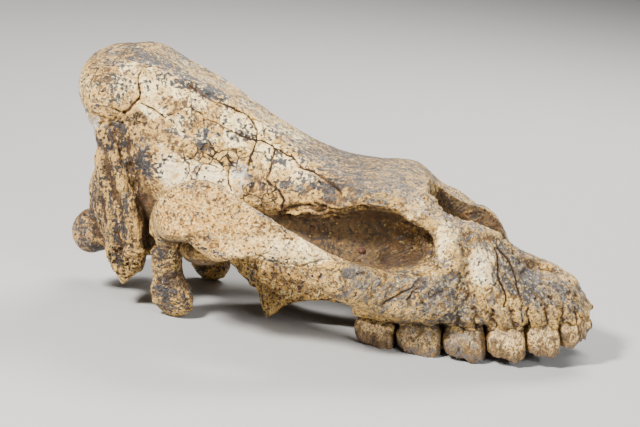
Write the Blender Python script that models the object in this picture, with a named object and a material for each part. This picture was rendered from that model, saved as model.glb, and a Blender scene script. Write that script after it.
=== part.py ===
"""Fossil rhinoceros skull, life size: a still cranium without the lower jaw.

The nose bones and the front jaw bones are lost, so the nose cavity lies open from above.
The skull is modelled whole in its own level frame (X forward, Y left, Z up, tooth tips at
height 0), parted into its bones with thin cuts, and then pitched nose up on to its rest:
the rear cheek teeth and the two processes behind the jaw joints. All sizes are in metres.
"""

import math

import bmesh
import bpy
import numpy as np
from mathutils import Matrix, Vector

# Driving dimensions
PITCH_RANGE = (math.radians(4), math.radians(14))  # nose-up angles tried for the rest
CHEEK_HALF_WIDTH = 0.160  # middle of the cheek arch, from the midline
CRANIUM_BACK = -0.252  # rear of the braincase
FRONTAL_FRONT = 0.112  # broken front edge of the forehead
SNOUT_TIP = 0.283
PALATE_REAR = 0.030
ARCH_THICKNESS = 0.0125

VOXEL = 0.0035  # grain of the fused bone
SOFTENING = 7  # smoothing passes that turn the joints of the forms into fillets
SKULL_FACES = 4400  # triangles kept for all the bone before it is parted
CUT_GAP = 0.0004
FLAT_DEPTH = 0.0015  # how far the standing points are levelled off


# ---------------------------------------------------------------- drawing tools


def through(*knots):
    """A smooth function of one value through (place, value) knots."""
    places = np.array([k[0] for k in knots], float)
    values = np.array([k[1] for k in knots], float)
    slopes = np.gradient(values, places, axis=0)

    def at(place):
        place = min(max(place, places[0]), places[-1])
        i = min(int(np.searchsorted(places, place, side="right")) - 1, len(places) - 2)
        span = places[i + 1] - places[i]
        t = (place - places[i]) / span
        return (
            (2 * t**3 - 3 * t**2 + 1) * values[i]
            + (t**3 - 2 * t**2 + t) * span * slopes[i]
            + (3 * t**2 - 2 * t**3) * values[i + 1]
            + (t**3 - t**2) * span * slopes[i + 1]
        )

    return at


def ring_through(points, count=40):
    """A closed ring of count points on a smooth curve through the given ones."""
    closed = np.array([*points, points[0], points[1]], float)
    closed = np.vstack([[closed[len(points) - 1]], closed])
    ring = []
    for i in range(1, len(points) + 1):
        a, b, c, d = closed[i - 1 : i + 3]
        for t in np.linspace(0, 1, 12, endpoint=False):
            ring.append(
                0.5 * (2 * b + (c - a) * t + (2 * a - 5 * b + 4 * c - d) * t**2
                       + (3 * b - a - 3 * c + d) * t**3)
            )  # fmt: skip
    ring = np.array(ring)
    steps = np.linalg.norm(np.diff(np.vstack([ring, ring[:1]]), axis=0), axis=1)
    along = np.concatenate([[0], np.cumsum(steps)])
    wanted = np.linspace(0, along[-1], count, endpoint=False)
    ring = np.vstack([ring, ring[:1]])
    return np.column_stack([np.interp(wanted, along, ring[:, k]) for k in range(ring.shape[1])])


def both_sides(half):
    """A section's (y, z) points on both sides, from its left half, top to bottom."""
    return list(half) + [(-y, z) for y, z in reversed(half) if abs(y) > 1e-6]


def new_object(name, bm):
    bmesh.ops.recalc_face_normals(bm, faces=bm.faces)
    mesh = bpy.data.meshes.new(name)
    bm.to_mesh(mesh)
    bm.free()
    obj = bpy.data.objects.new(name, mesh)
    bpy.context.scene.collection.objects.link(obj)
    return obj


def loft(name, rings):
    """A closed body through rings that have the same number of points."""
    bm = bmesh.new()
    loops = []
    for ring in rings:
        verts = [bm.verts.new(p) for p in ring]
        loops.append([bm.edges.new((verts[i - 1], verts[i])) for i in range(len(verts))])
    for first, second in zip(loops, loops[1:]):
        bmesh.ops.bridge_loops(bm, edges=first + second)
    bmesh.ops.contextual_create(bm, geom=loops[0])
    bmesh.ops.contextual_create(bm, geom=loops[-1])
    return new_object(name, bm)


def bar(name, stations, side=1, across=(0, 1, 0), steps=5, power=2.4):
    """A closed bar along (x, y, z, half thickness, half height) stations.

    The thickness is measured along across and the height square to it and to the path."""
    table = np.array(stations, float)
    table[:, 1] *= side
    line = through(*[(i, row) for i, row in enumerate(table)])
    rings = []
    last = len(table) - 1
    ends = [(-1, 0.25), (-1, 0.72), (1, 0.72), (1, 0.25)]
    samples = [(t, 1.0) for t in np.linspace(0, last, last * steps + 1)]
    samples = [(0, e[1]) for e in ends[:2]] + samples + [(last, e[1]) for e in ends[2:]]
    across = Vector((across[0], across[1] * side, across[2]))
    for order, (t, size) in enumerate(samples):
        here = line(t)
        ahead, behind = line(min(t + 0.05, last)), line(max(t - 0.05, 0))
        tangent = Vector(ahead[:3] - behind[:3]).normalized()
        height = tangent.cross(across).normalized()
        thick = height.cross(tangent).normalized()
        centre = Vector(here[:3])
        if size < 1:
            reach = min(here[3], here[4]) * math.sqrt(1 - size**2)
            centre += tangent * reach * (-1 if order < 2 else 1)
        ring = []
        for k in range(20):
            angle = 2 * math.pi * k / 20
            c, s = math.cos(angle), math.sin(angle)
            u = math.copysign(abs(c) ** (2 / power), c) * here[3] * size
            v = math.copysign(abs(s) ** (2 / power), s) * here[4] * size
            ring.append(centre + thick * u + height * v)
        rings.append(ring)
    return loft(name, rings)


def ball(name, centre, radii, side=1, turn=(0, 0, 0)):
    """A closed ellipsoid."""
    bm = bmesh.new()
    bmesh.ops.create_icosphere(bm, subdivisions=3, radius=1)
    obj = new_object(name, bm)
    place = Matrix.Translation((centre[0], centre[1] * side, centre[2]))
    spin = Matrix.Rotation(turn[2] * side, 4, "Z") @ Matrix.Rotation(turn[1], 4, "Y")
    obj.data.transform(place @ spin @ Matrix.Diagonal((*radii, 1)))
    return obj


def plate(name, outline, y, thickness, side=1, lean=0.0):
    """A closed plate that stands along X: an (x, z) outline given a thickness about y."""
    rings = []
    for offset in (-0.5, 0.5):
        rings.append(
            [(x, side * (y + offset * thickness + lean * (z - outline[0][1])), z) for x, z in outline]
        )
    return loft(name, rings)


def evaluated(obj):
    """Applies an object's modifiers."""
    graph = bpy.context.evaluated_depsgraph_get()
    mesh = bpy.data.meshes.new_from_object(obj.evaluated_get(graph))
    obj.modifiers.clear()
    obj.data = mesh
    return obj


def joined(name, objects):
    """One object that holds the meshes of several, which are removed."""
    bm = bmesh.new()
    for obj in objects:
        bm.from_mesh(obj.data)
        bpy.data.objects.remove(obj)
    return new_object(name, bm)


def voxel_union(obj, voxel, passes):
    """Fuses the overlapping bodies of an object into one skin and softens their joints."""
    remesh = obj.modifiers.new("fuse", "REMESH")
    remesh.mode = "VOXEL"
    remesh.voxel_size = voxel
    smooth = obj.modifiers.new("soften", "SMOOTH")
    smooth.factor = 0.5
    smooth.iterations = passes
    return evaluated(obj)


def boolean(obj, tool, operation):
    cut = obj.modifiers.new(operation.lower(), "BOOLEAN")
    cut.operation = operation
    cut.solver = "EXACT"
    cut.object = tool
    evaluated(obj)
    bpy.data.objects.remove(tool)
    return obj


def box(name, low, high):
    """A block between two corners."""
    bm = bmesh.new()
    bmesh.ops.create_cube(bm, size=1)
    obj = new_object(name, bm)
    low, high = Vector(low), Vector(high)
    obj.data.transform(
        Matrix.Translation((low + high) / 2) @ Matrix.Diagonal((*(high - low), 1))
    )
    return obj


# ---------------------------------------------------------------- braincase and forehead

# Each curve gives (half width, height) along X, as drawn on the top view and the side view.
ROOF_HEIGHT = through(
    (-0.252, 0.314), (-0.200, 0.331), (-0.163, 0.311), (-0.132, 0.294), (-0.091, 0.269),
    (-0.040, 0.233), (0.006, 0.208), (0.043, 0.199), (0.080, 0.196), (0.112, 0.182),
)  # fmt: skip
TEMPORAL_CREST = through(
    (-0.252, (0.078, 0.298)), (-0.200, (0.064, 0.316)), (-0.163, (0.046, 0.304)), (-0.132, (0.036, 0.289)),
    (-0.091, (0.027, 0.264)), (-0.040, (0.031, 0.227)), (0.006, (0.049, 0.200)), (0.043, (0.064, 0.190)),
    (0.080, (0.073, 0.186)), (0.112, (0.066, 0.168)),
)  # fmt: skip
SIDE_WALL = through(
    (-0.252, (0.079, 0.264)), (-0.200, (0.076, 0.262)), (-0.150, (0.067, 0.246)), (-0.100, (0.057, 0.226)),
    (-0.050, (0.050, 0.203)), (0.000, (0.062, 0.185)), (0.050, (0.079, 0.184)), (0.090, (0.081, 0.177)),
    (0.112, (0.074, 0.160)),
)  # fmt: skip
EAVE = through(
    (-0.252, (0.062, 0.200)), (-0.200, (0.068, 0.196)), (-0.150, (0.068, 0.190)), (-0.094, (0.067, 0.178)),
    (-0.050, (0.066, 0.168)), (0.000, (0.070, 0.166)), (0.031, (0.080, 0.171)), (0.060, (0.087, 0.175)),
    (0.090, (0.085, 0.167)), (0.112, (0.076, 0.154)),
)  # fmt: skip
UNDER_EAVE = through(
    (-0.252, (0.056, 0.150)), (-0.200, (0.064, 0.150)), (-0.150, (0.062, 0.150)), (-0.094, (0.054, 0.148)),
    (-0.050, (0.046, 0.150)), (0.000, (0.040, 0.148)), (0.050, (0.042, 0.152)), (0.112, (0.050, 0.142)),
)  # fmt: skip
FLOOR = through(
    (-0.252, (0.040, 0.118)), (-0.150, (0.040, 0.108)), (-0.050, (0.028, 0.100)), (0.030, (0.026, 0.086)),
    (0.112, (0.036, 0.070)),
)  # fmt: skip
CREST_RADIUS = 0.036  # of the rounded nuchal crest, which hangs over the occiput


def braincase():
    rings = []
    for x in np.linspace(CRANIUM_BACK + 0.012, FRONTAL_FRONT, 32):
        roof, crest, wall = ROOF_HEIGHT(x), TEMPORAL_CREST(x), SIDE_WALL(x)
        eave, under, floor = EAVE(x), UNDER_EAVE(x), FLOOR(x)
        half = [
            (0.0, roof),
            (crest[0] * 0.6, roof * 0.75 + crest[1] * 0.25),
            crest,
            wall,
            eave,
            (eave[0] * 0.75 + under[0] * 0.25, eave[1] - 0.009),
            under,
            (under[0] * 0.85, under[1] * 0.5 + floor[1] * 0.5),
            floor,
            (0.0, floor[1] - 0.004),
        ]
        rings.append([(x, y, z) for y, z in ring_through(both_sides(half), 56)])
    r = CREST_RADIUS
    crest = bar("nuchal crest", [
        (-0.226, 0.058, 0.285, r * 0.84, r * 0.95),
        (-0.231, 0.036, 0.291, r * 0.94, r),
        (-0.232, 0.000, 0.295, r, r),
        (-0.231, -0.036, 0.291, r * 0.94, r),
        (-0.226, -0.058, 0.285, r * 0.84, r * 0.95),
    ], across=(1, 0, 0), power=2.2)  # fmt: skip
    return [loft("braincase", rings), crest]


# ---------------------------------------------------------------- the occiput

OCCIPUT_HALF_WIDTH = through(
    (0.112, 0.066), (0.135, 0.078), (0.165, 0.080), (0.200, 0.077), (0.235, 0.074), (0.262, 0.074),
)  # fmt: skip
OCCIPUT_BACK = through((0.112, -0.246), (0.150, -0.256), (0.190, -0.252), (0.225, -0.243), (0.262, -0.236))
OCCIPUT_SIDE_SWEEP = 0.026  # how far forward the plate's side edges stand


def occiput():
    rings = []
    for z in np.linspace(0.112, 0.262, 12):
        w, back = OCCIPUT_HALF_WIDTH(z), OCCIPUT_BACK(z)
        half = [
            (0.0, back + 0.010),
            (w * 0.20, back + 0.004),
            (w * 0.55, back),
            (w * 0.88, back + OCCIPUT_SIDE_SWEEP * 0.5),
            (w, back + OCCIPUT_SIDE_SWEEP),
            (w * 0.86, back + OCCIPUT_SIDE_SWEEP * 1.5),
            (w * 0.50, back + 0.055),
            (0.0, back + 0.060),
        ]
        rings.append([(x, y, z) for y, x in ring_through(both_sides(half), 44)])
    pieces = [loft("occipital plate", rings)]
    for side in (1, -1):
        pieces += [
            ball("condyle", (-0.263, 0.040, 0.133), (0.023, 0.023, 0.026), side, (0, 0.3, 0.35)),
            ball("condyle neck", (-0.238, 0.036, 0.130), (0.030, 0.022, 0.020), side),
            plate("side crest", [
                (-0.232, 0.150), (-0.236, 0.122), (-0.234, 0.106), (-0.2225, 0.078), (-0.213, 0.086),
                (-0.197, 0.099), (-0.193, 0.116), (-0.197, 0.150), (-0.207, 0.190), (-0.220, 0.232),
                (-0.228, 0.252), (-0.234, 0.246), (-0.236, 0.200),
            ], 0.073, 0.019, side, lean=0.05),
            bar("mastoid", [
                (-0.206, 0.078, 0.170, 0.012, 0.013),
                (-0.203, 0.083, 0.136, 0.012, 0.012),
                (-0.201, 0.083, 0.106, 0.008, 0.008),
            ], side),
        ]  # fmt: skip
    return pieces


# ---------------------------------------------------------------- jaw joints and cheek arches


def cheek(side):
    """The cheek arch, the bar over the jaw joint and the process behind it."""
    y = CHEEK_HALF_WIDTH
    t = ARCH_THICKNESS
    return [
        bar("cheek arch", [
            (0.140, 0.078, 0.084, t * 1.6, 0.034),
            (0.112, 0.092, 0.078, t * 1.6, 0.030),
            (0.082, y - 0.054, 0.081, t * 1.4, 0.026),
            (0.048, y - 0.024, 0.099, t, 0.024),
            (0.020, y - 0.010, 0.117, t * 0.9, 0.021),
            (-0.004, y - 0.004, 0.135, t * 0.8, 0.019),
            (-0.030, y, 0.149, t * 0.8, 0.022),
            (-0.056, y, 0.159, t * 0.9, 0.029),
            (-0.084, y - 0.002, 0.166, t * 1.1, 0.040),
            (-0.108, y - 0.008, 0.175, t * 1.3, 0.040),
            (-0.130, y - 0.019, 0.175, t * 1.5, 0.031),
            (-0.146, y - 0.038, 0.168, t * 1.6, 0.022),
            (-0.156, y - 0.064, 0.163, t * 1.5, 0.018),
        ], side),
        bar("joint bar", [
            (-0.118, 0.152, 0.158, 0.030, 0.018),
            (-0.126, 0.125, 0.157, 0.036, 0.015),
            (-0.134, 0.095, 0.156, 0.038, 0.016),
            (-0.134, 0.060, 0.158, 0.040, 0.022),
            (-0.134, 0.030, 0.160, 0.040, 0.024),
        ], side, across=(1, 0, 0)),
        bar("postglenoid process", [
            (-0.160, 0.100, 0.156, 0.020, 0.018),
            (-0.164, 0.093, 0.122, 0.016, 0.017),
            (-0.166, 0.084, 0.096, 0.015, 0.0165),
            (-0.167, 0.079, 0.074, 0.019, 0.0215),
            (-0.166, 0.077, 0.060, 0.0145, 0.0175),
        ], side),
    ]  # fmt: skip


# ---------------------------------------------------------------- skull base and pterygoid wings


def skull_base():
    pieces = [
        bar("base", [
            (-0.252, 0, 0.122, 0.030, 0.014),
            (-0.205, 0, 0.116, 0.032, 0.017),
            (-0.150, 0, 0.112, 0.027, 0.016),
            (-0.090, 0, 0.106, 0.024, 0.016),
            (-0.020, 0, 0.098, 0.024, 0.016),
            (0.050, 0, 0.086, 0.026, 0.016),
        ])
    ]  # fmt: skip
    for side in (1, -1):
        pieces += [
            plate("pterygoid wing", [
                (-0.135, 0.125), (-0.118, 0.104), (-0.100, 0.084), (-0.086, 0.068), (-0.080, 0.080),
                (-0.060, 0.094), (0.000, 0.105), (0.040, 0.115), (-0.060, 0.135),
            ], 0.034, 0.0105, side, lean=-0.06),
            plate("palatine wing", [
                (-0.082, 0.088), (-0.078, 0.064), (-0.074, 0.047), (-0.069, 0.036), (-0.062, 0.040),
                (-0.048, 0.051), (-0.020, 0.057), (0.015, 0.055), (0.050, 0.046), (0.060, 0.110), (-0.040, 0.120),
            ], 0.043, 0.0115, side, lean=-0.05),
        ]  # fmt: skip
    return pieces


# ---------------------------------------------------------------- upper jaw

# (half width, height) of the lines that run along the face, from the orbit to the snout.
NOSE_RIM = through(
    (0.107, (0.030, 0.184)), (0.120, (0.045, 0.170)), (0.130, (0.050, 0.158)), (0.153, (0.050, 0.148)),
    (0.179, (0.047, 0.138)), (0.201, (0.040, 0.117)), (0.215, (0.033, 0.092)), (0.240, (0.022, 0.083)),
    (0.256, (0.019, 0.070)), (0.268, (0.015, 0.054)), (0.277, (0.010, 0.045)), (0.283, (0.006, 0.038)),
)  # fmt: skip
BROW = through(
    (0.107, (0.058, 0.165)), (0.122, (0.063, 0.159)), (0.134, (0.072, 0.150)), (0.153, (0.067, 0.134)), (0.180, (0.059, 0.117)),
    (0.201, (0.052, 0.101)), (0.215, (0.045, 0.084)), (0.240, (0.034, 0.074)), (0.262, (0.025, 0.058)),
    (0.283, (0.010, 0.036)),
)  # fmt: skip
FACE = through(
    (0.107, (0.056, 0.122)), (0.124, (0.060, 0.120)), (0.136, (0.091, 0.111)), (0.147, (0.090, 0.096)), (0.161, (0.084, 0.092)),
    (0.190, (0.071, 0.083)), (0.230, (0.050, 0.066)), (0.262, (0.034, 0.050)), (0.283, (0.014, 0.034)),
)  # fmt: skip
GUM_EDGE = through(
    (0.030, (0.072, 0.050)), (0.060, (0.084, 0.052)), (0.105, (0.089, 0.052)), (0.150, (0.086, 0.048)),
    (0.190, (0.079, 0.046)), (0.220, (0.068, 0.045)), (0.245, (0.055, 0.044)), (0.266, (0.038, 0.042)),
    (0.283, (0.016, 0.037)),
)  # fmt: skip
TOOTH_NECK = through((0.030, 0.043), (0.100, 0.044), (0.200, 0.041), (0.250, 0.039), (0.283, 0.033))
PALATE_HALF_WIDTH = through((0.030, 0.034), (0.100, 0.035), (0.180, 0.033), (0.230, 0.025), (0.270, 0.010), (0.283, 0.004))
ORBIT_FLOOR = through((0.030, (0.056, 0.094)), (0.070, (0.070, 0.096)), (0.135, (0.080, 0.108)))
FACE_BACK = 0.108


def upper_jaw():
    def under(x):
        gum, palate, neck = GUM_EDGE(x), PALATE_HALF_WIDTH(x), TOOTH_NECK(x)
        return [gum, (gum[0] * 0.95, neck), (palate, neck), (palate * 0.7, neck + 0.014), (0.0, neck + 0.018)]

    behind, face = [], []
    for x in np.linspace(PALATE_REAR, 0.150, 16):
        side, gum = ORBIT_FLOOR(x), GUM_EDGE(x)
        half = [(0.0, side[1]), (side[0] * 0.5, side[1]), side, (gum[0] + 0.006, gum[1] + 0.020), *under(x)]
        behind.append([(x, y, z) for y, z in ring_through(both_sides(half), 52)])
    for x in np.linspace(FACE_BACK, SNOUT_TIP, 28):
        rim, cheekbone = NOSE_RIM(x), FACE(x)
        half = [
            (0.0, rim[1] - 0.012),
            (rim[0] * 0.65, rim[1] - 0.004),
            rim,
            BROW(x),
            cheekbone,
            (cheekbone[0] * 0.5 + GUM_EDGE(x)[0] * 0.5 + 0.001, cheekbone[1] * 0.5 + GUM_EDGE(x)[1] * 0.5),
            *under(x),
        ]
        face.append([(x, y, z) for y, z in ring_through(both_sides(half), 60)])
    pieces = [loft("tooth-bearing bone", behind), loft("face", face)]
    for side in (1, -1):
        pieces.append(
            bar("front rim of the orbit", [
                (0.100, 0.072, 0.158, 0.009, 0.010),
                (0.124, 0.071, 0.146, 0.010, 0.010),
                (0.137, 0.080, 0.130, 0.010, 0.012),
                (0.141, 0.086, 0.106, 0.011, 0.018),
            ], side)
        )  # fmt: skip
    return pieces


def nose_cavity():
    """The hollow between the jaw's two walls, open above where the nose bones are lost."""
    floor = through((0.084, 0.120), (0.105, 0.090), (0.150, 0.072), (0.205, 0.070), (0.230, 0.074), (0.262, 0.072))
    top = through((0.084, 0.150), (0.109, 0.168), (0.114, 0.240), (0.262, 0.240))
    wall = through((0.084, 0.010), (0.110, 0.003), (0.150, 0.0035), (0.262, 0.0035))
    rings = []
    for x in np.linspace(0.084, 0.262, 28):
        low, high = floor(x), top(x)
        w = max(NOSE_RIM(max(x, 0.107))[0] - wall(x), 0.006)
        if x > 0.215:
            low = max(low, NOSE_RIM(x)[1] - 0.010)
        half = [(0.0, high), (w * 0.96, high), (w, high * 0.5 + low * 0.5), (w * 0.9, low + 0.012), (w * 0.5, low), (0.0, low)]
        rings.append([(x, y, z) for y, z in ring_through(both_sides(half), 36)])
    return loft("nose cavity", rings)


def openings():
    """The bodies of air that are cut out of the fused bone."""
    tools = [
        nose_cavity(),
        plate("break in the left rim of the nose", [
            (0.148, 0.1500), (0.162, 0.1390), (0.174, 0.1200), (0.183, 0.0980), (0.197, 0.0870),
            (0.226, 0.0840), (0.226, 0.2000), (0.148, 0.2000),
        ], 0.045, 0.074),
        bar("foramen magnum", [(-0.300, 0, 0.146, 0.021, 0.018), (-0.205, 0, 0.152, 0.019, 0.015)]),
        ball("choana", (0.018, 0, 0.064), (0.066, 0.023, 0.028)),
    ]
    for side in (1, -1):
        tools.append(
            bar("ear passage", [(-0.176, 0.130, 0.132, 0.008, 0.010), (-0.176, 0.058, 0.142, 0.008, 0.010)], side, across=(1, 0, 0))
        )
    return tools


# ---------------------------------------------------------------- teeth

# name, middle x, middle y, length, width, lowest point, rise of its back edge, turn inwards in degrees
TEETH = (
    ("molar_3", 0.0545, 0.0580, 0.042, 0.040, 0.0100, 0.017, -8),
    ("molar_2", 0.1025, 0.0620, 0.047, 0.047, 0.0040, 0.010, -2),
    ("molar_1", 0.1500, 0.0620, 0.044, 0.046, 0.0000, 0.006, 3),
    ("premolar_4", 0.1930, 0.0570, 0.040, 0.044, -0.0010, 0.003, 10),
    ("premolar_3", 0.2300, 0.0460, 0.035, 0.038, 0.0000, 0.000, 20),
    ("premolar_2", 0.2570, 0.0330, 0.026, 0.028, 0.0055, -0.003, 32),
    ("premolar_1", 0.2740, 0.0205, 0.015, 0.015, 0.0110, -0.003, 48),
)


def tooth(name, x, y, length, width, tip, rise, turn, side):
    """A cheek tooth: a block crown with a ribbed outer wall, above it the start of its root."""
    rings = []
    neck = TOOTH_NECK(x)
    for level, swell, tilt in (
        (neck + 0.25 * length, 0.55, 0.0),
        (neck, 0.86, 0.0),
        (neck * 0.55 + tip * 0.45, 1.0, 0.4),
        (tip + 0.006, 0.98, 1.0),
        (tip, 0.86, 1.0),
    ):
        ring = []
        for k in range(12):
            angle = 2 * math.pi * (k + 0.5) / 12
            c, s = math.cos(angle), math.sin(angle)
            u = math.copysign(abs(c) ** 0.45, c) * length / 2 * swell
            v = math.copysign(abs(s) ** 0.45, s) * width / 2 * swell - (1 - swell) * width * 0.3
            rib = 0.0016 * math.cos(4 * math.pi * u / length) * (1 if s > 0 else -1)
            ring.append((u, (v + rib) * side, level + rise * tilt * (0.5 - u / length)))
        rings.append(ring)
    obj = loft(name, rings)
    turned = Matrix.Rotation(-math.radians(turn) * side, 4, "Z")
    obj.data.transform(Matrix.Translation((x, y * side, 0)) @ turned)
    return obj


# ---------------------------------------------------------------- the whole, parted into bones


def whole_skull():
    forms = [*braincase(), *occiput(), *cheek(1), *cheek(-1), *skull_base(), *upper_jaw()]
    skull = voxel_union(joined("skull", forms), VOXEL, SOFTENING)
    for tool in openings():
        boolean(skull, tool, "DIFFERENCE")
    thin = skull.modifiers.new("fewer faces", "DECIMATE")
    thin.ratio = SKULL_FACES / sum(len(p.vertices) - 2 for p in skull.data.polygons)
    return evaluated(skull)


# Each bone is what its planes (a point and an outward direction) close in of the bone that is
# left. The paired ones are given for the left side, and the last name takes what remains.
BONES = (
    ("jugal", True, (((-0.020, 0, 0.143), (-0.90, 0, 0.43)), ((0.088, 0.110, 0), (0.95, -0.30, 0)), ((0, 0.100, 0), (0, -1, 0)))),
    ("squamosal", True, (((-0.186, 0, 0), (-1, 0, 0)), ((0, 0.078, 0.200), (0, -0.98, 0.20)), ((-0.090, 0.070, 0), (0.58, -0.81, 0)))),
    ("occipital", False, (((0, 0, 0.250), (0, 0, 1)), ((-0.186, 0, 0.100), (0.972, 0, 0.233)))),
    ("frontal", False, (((-0.030, 0, 0.230), (-0.96, 0, -0.28)), ((0, 0, 0.148), (0, 0, -1)), ((0.124, 0, 0.150), (0.94, 0, 0.34)))),
    ("maxilla", True, (((0.028, 0, 0), (-1, 0, 0)), ((0, CUT_GAP / 2, 0), (0, -1, 0)))),
    ("pterygoid", True, (((0, 0.024, 0), (0, -1, 0)), ((0, 0, 0.073), (0.14, 0, 0.99)), ((-0.130, 0, 0), (-1, 0, 0)))),
    ("skull_base", False, (((0, 0, 0.132), (0, 0, 1)),)),
    ("braincase", False, ()),
)  # fmt: skip


def region(planes, side, growth):
    """A large block cut down by planes, each moved outwards by growth."""
    obj = box("region", (-1, -1, -1), (1, 1, 1))
    bm = bmesh.new()
    bm.from_mesh(obj.data)
    for point, direction in planes:
        point = Vector((point[0], point[1] * side, point[2]))
        out = Vector((direction[0], direction[1] * side, direction[2])).normalized()
        found = bmesh.ops.bisect_plane(
            bm, geom=[*bm.verts, *bm.edges, *bm.faces], plane_co=point + out * growth, plane_no=out, clear_outer=True
        )
        rim = [e for e in found["geom_cut"] if isinstance(e, bmesh.types.BMEdge)]
        bmesh.ops.contextual_create(bm, geom=rim)
    bmesh.ops.recalc_face_normals(bm, faces=bm.faces)
    bm.to_mesh(obj.data)
    bm.free()
    return obj


def largest_piece(obj):
    """Drops the crumbs that a cut leaves beside a bone."""
    bm = bmesh.new()
    bm.from_mesh(obj.data)
    left, pieces = set(bm.verts), []
    while left:
        piece, edge = set(), [left.pop()]
        while edge:
            vert = edge.pop()
            piece.add(vert)
            near = {e.other_vert(vert) for e in vert.link_edges} & left
            left -= near
            edge.extend(near)
        pieces.append(piece)
    pieces.sort(key=len)
    bmesh.ops.delete(bm, geom=[v for piece in pieces[:-1] for v in piece], context="VERTS")
    bm.to_mesh(obj.data)
    bm.free()


def parted(skull):
    bones = []
    for name, paired, planes in BONES:
        for label, side in (("_left", 1), ("_right", -1)) if paired else (("", 1),):
            bone = skull.copy()
            bone.data = skull.data.copy()
            bone.name = name + label
            bpy.context.scene.collection.objects.link(bone)
            if planes:
                boolean(bone, region(planes, side, 0.0), "INTERSECT")
                boolean(skull, region(planes, side, CUT_GAP), "DIFFERENCE")
            if name == "maxilla":
                for row in TEETH:
                    boolean(bone, tooth(*row, side), "UNION")
            largest_piece(bone)
            bones.append(bone)
    bpy.data.objects.remove(skull)
    return bones


def heights(bones, pitch):
    """The lowest point of the joint processes and of the teeth at a nose-up pitch."""
    points = [np.array([v.co for v in bone.data.vertices]) for bone in bones]
    points = np.vstack(points)
    level = points[:, 2] * math.cos(pitch) + points[:, 0] * math.sin(pitch)
    return level[points[:, 0] < -0.10].min(), level[points[:, 0] > 0.03].min()


def set_down(bones):
    """Pitches the bones on to their rest, levels the standing points and centres the skull."""
    low, high = PITCH_RANGE
    for _ in range(40):
        pitch = (low + high) / 2
        behind, before = heights(bones, pitch)
        low, high = (pitch, high) if behind > before else (low, pitch)
    turn = Matrix.Rotation(-pitch, 4, "Y")
    for bone in bones:
        bone.data.transform(turn)
    level = min(v.co.z for bone in bones for v in bone.data.vertices) + FLAT_DEPTH
    for bone in bones:
        if min(v.co.z for v in bone.data.vertices) < level:
            boolean(bone, box("floor", (-1, -1, level - 1), (1, 1, level)), "DIFFERENCE")
    points = np.array([v.co for bone in bones for v in bone.data.vertices])
    low, high = points.min(axis=0), points.max(axis=0)
    shift = Matrix.Translation((-(low[0] + high[0]) / 2, -(low[1] + high[1]) / 2, -level))
    for bone in bones:
        bone.data.transform(shift)
    return pitch, shift


BONE_COLOURS = {
    "braincase": (0.62, 0.53, 0.39),
    "frontal": (0.50, 0.44, 0.36),
    "occipital": (0.45, 0.36, 0.22),
    "maxilla": (0.47, 0.42, 0.34),
    "jugal": (0.55, 0.45, 0.31),
    "squamosal": (0.55, 0.42, 0.25),
    "skull_base": (0.42, 0.33, 0.20),
    "pterygoid": (0.48, 0.37, 0.21),
}


def finish_bones(bones):
    for bone in bones:
        material = bpy.data.materials.new(bone.name)
        material.use_nodes = True
        shader = material.node_tree.nodes["Principled BSDF"]
        kind = bone.name.removesuffix("_left").removesuffix("_right")
        shader.inputs["Base Color"].default_value = (*BONE_COLOURS[kind], 1)
        shader.inputs["Roughness"].default_value = 0.75
        bone.data.materials.clear()
        bone.data.materials.append(material)


def main():
    for old in list(bpy.data.objects):
        bpy.data.objects.remove(old)
    bones = parted(whole_skull())
    pitch, shift = set_down(bones)
    finish_bones(bones)
    print("rest pitch", round(math.degrees(pitch), 3), "shift", [round(v, 5) for v in shift.translation])


if __name__ == "__main__":
    main()
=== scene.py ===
"""A fossil rhinoceros skull: its bone, its teeth and the earth left in its hollows."""

import math

import bmesh
import bpy
import numpy as np
from mathutils import Matrix, Vector, noise
from mathutils.bvhtree import BVHTree


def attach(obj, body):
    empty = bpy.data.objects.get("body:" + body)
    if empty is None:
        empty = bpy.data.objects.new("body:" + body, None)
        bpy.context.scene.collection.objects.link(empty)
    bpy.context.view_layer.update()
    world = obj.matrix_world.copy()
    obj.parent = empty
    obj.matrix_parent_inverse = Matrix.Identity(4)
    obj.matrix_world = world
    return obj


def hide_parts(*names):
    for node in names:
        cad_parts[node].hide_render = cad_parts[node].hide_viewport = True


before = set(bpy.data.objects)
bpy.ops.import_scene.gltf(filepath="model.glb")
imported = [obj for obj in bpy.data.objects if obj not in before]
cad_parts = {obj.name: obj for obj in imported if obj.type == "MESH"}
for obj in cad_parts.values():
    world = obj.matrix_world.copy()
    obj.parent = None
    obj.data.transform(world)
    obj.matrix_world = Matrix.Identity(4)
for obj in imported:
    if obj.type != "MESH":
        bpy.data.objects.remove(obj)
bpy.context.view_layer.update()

# ---------------- the raw bone
# The cranium as it came out of the ground: bones that have grown together into one mass.
# The solids are swollen until they touch, fused into one fine skin and worn smooth. All the
# carving is done in the level frame: X forward, Y to the skull's left, Z up from the tooth tips.
REST_PITCH = math.radians(8.313)  # nose up, as the skull lies
REST_SHIFT = Vector((0.01465, 0.00001, -0.02294))
AT_REST = Matrix.Translation(REST_SHIFT) @ Matrix.Rotation(-REST_PITCH, 4, "Y")
LEVEL = AT_REST.inverted()
GRAIN = 0.00124  # of the fine skin
TOUCHING = 0.0004  # swelling that closes the thin cuts between the solids
JAW_REAR, JAW_FRONT = -0.03, 0.31  # how far the gum line runs
# places along the jaw and the gum line's height there
GUM_LINE = (
    (JAW_REAR, 0.0455), (0.060, 0.0445), (0.105, 0.0385), (0.150, 0.0355), (0.230, 0.0340),
    (JAW_FRONT, 0.0310),
)
SOCKETS = (0.0555, 0.1030, 0.1505, 0.1935, 0.2305, 0.2575, 0.2740)  # of the seven teeth, from the rear
GUM_ARCH = 0.0024  # the gum line arches up over each tooth and dips between them
WEAR_ROUNDS = 60
WEAR_LIMIT = 0.0009  # what wearing takes off an edge at most


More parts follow.
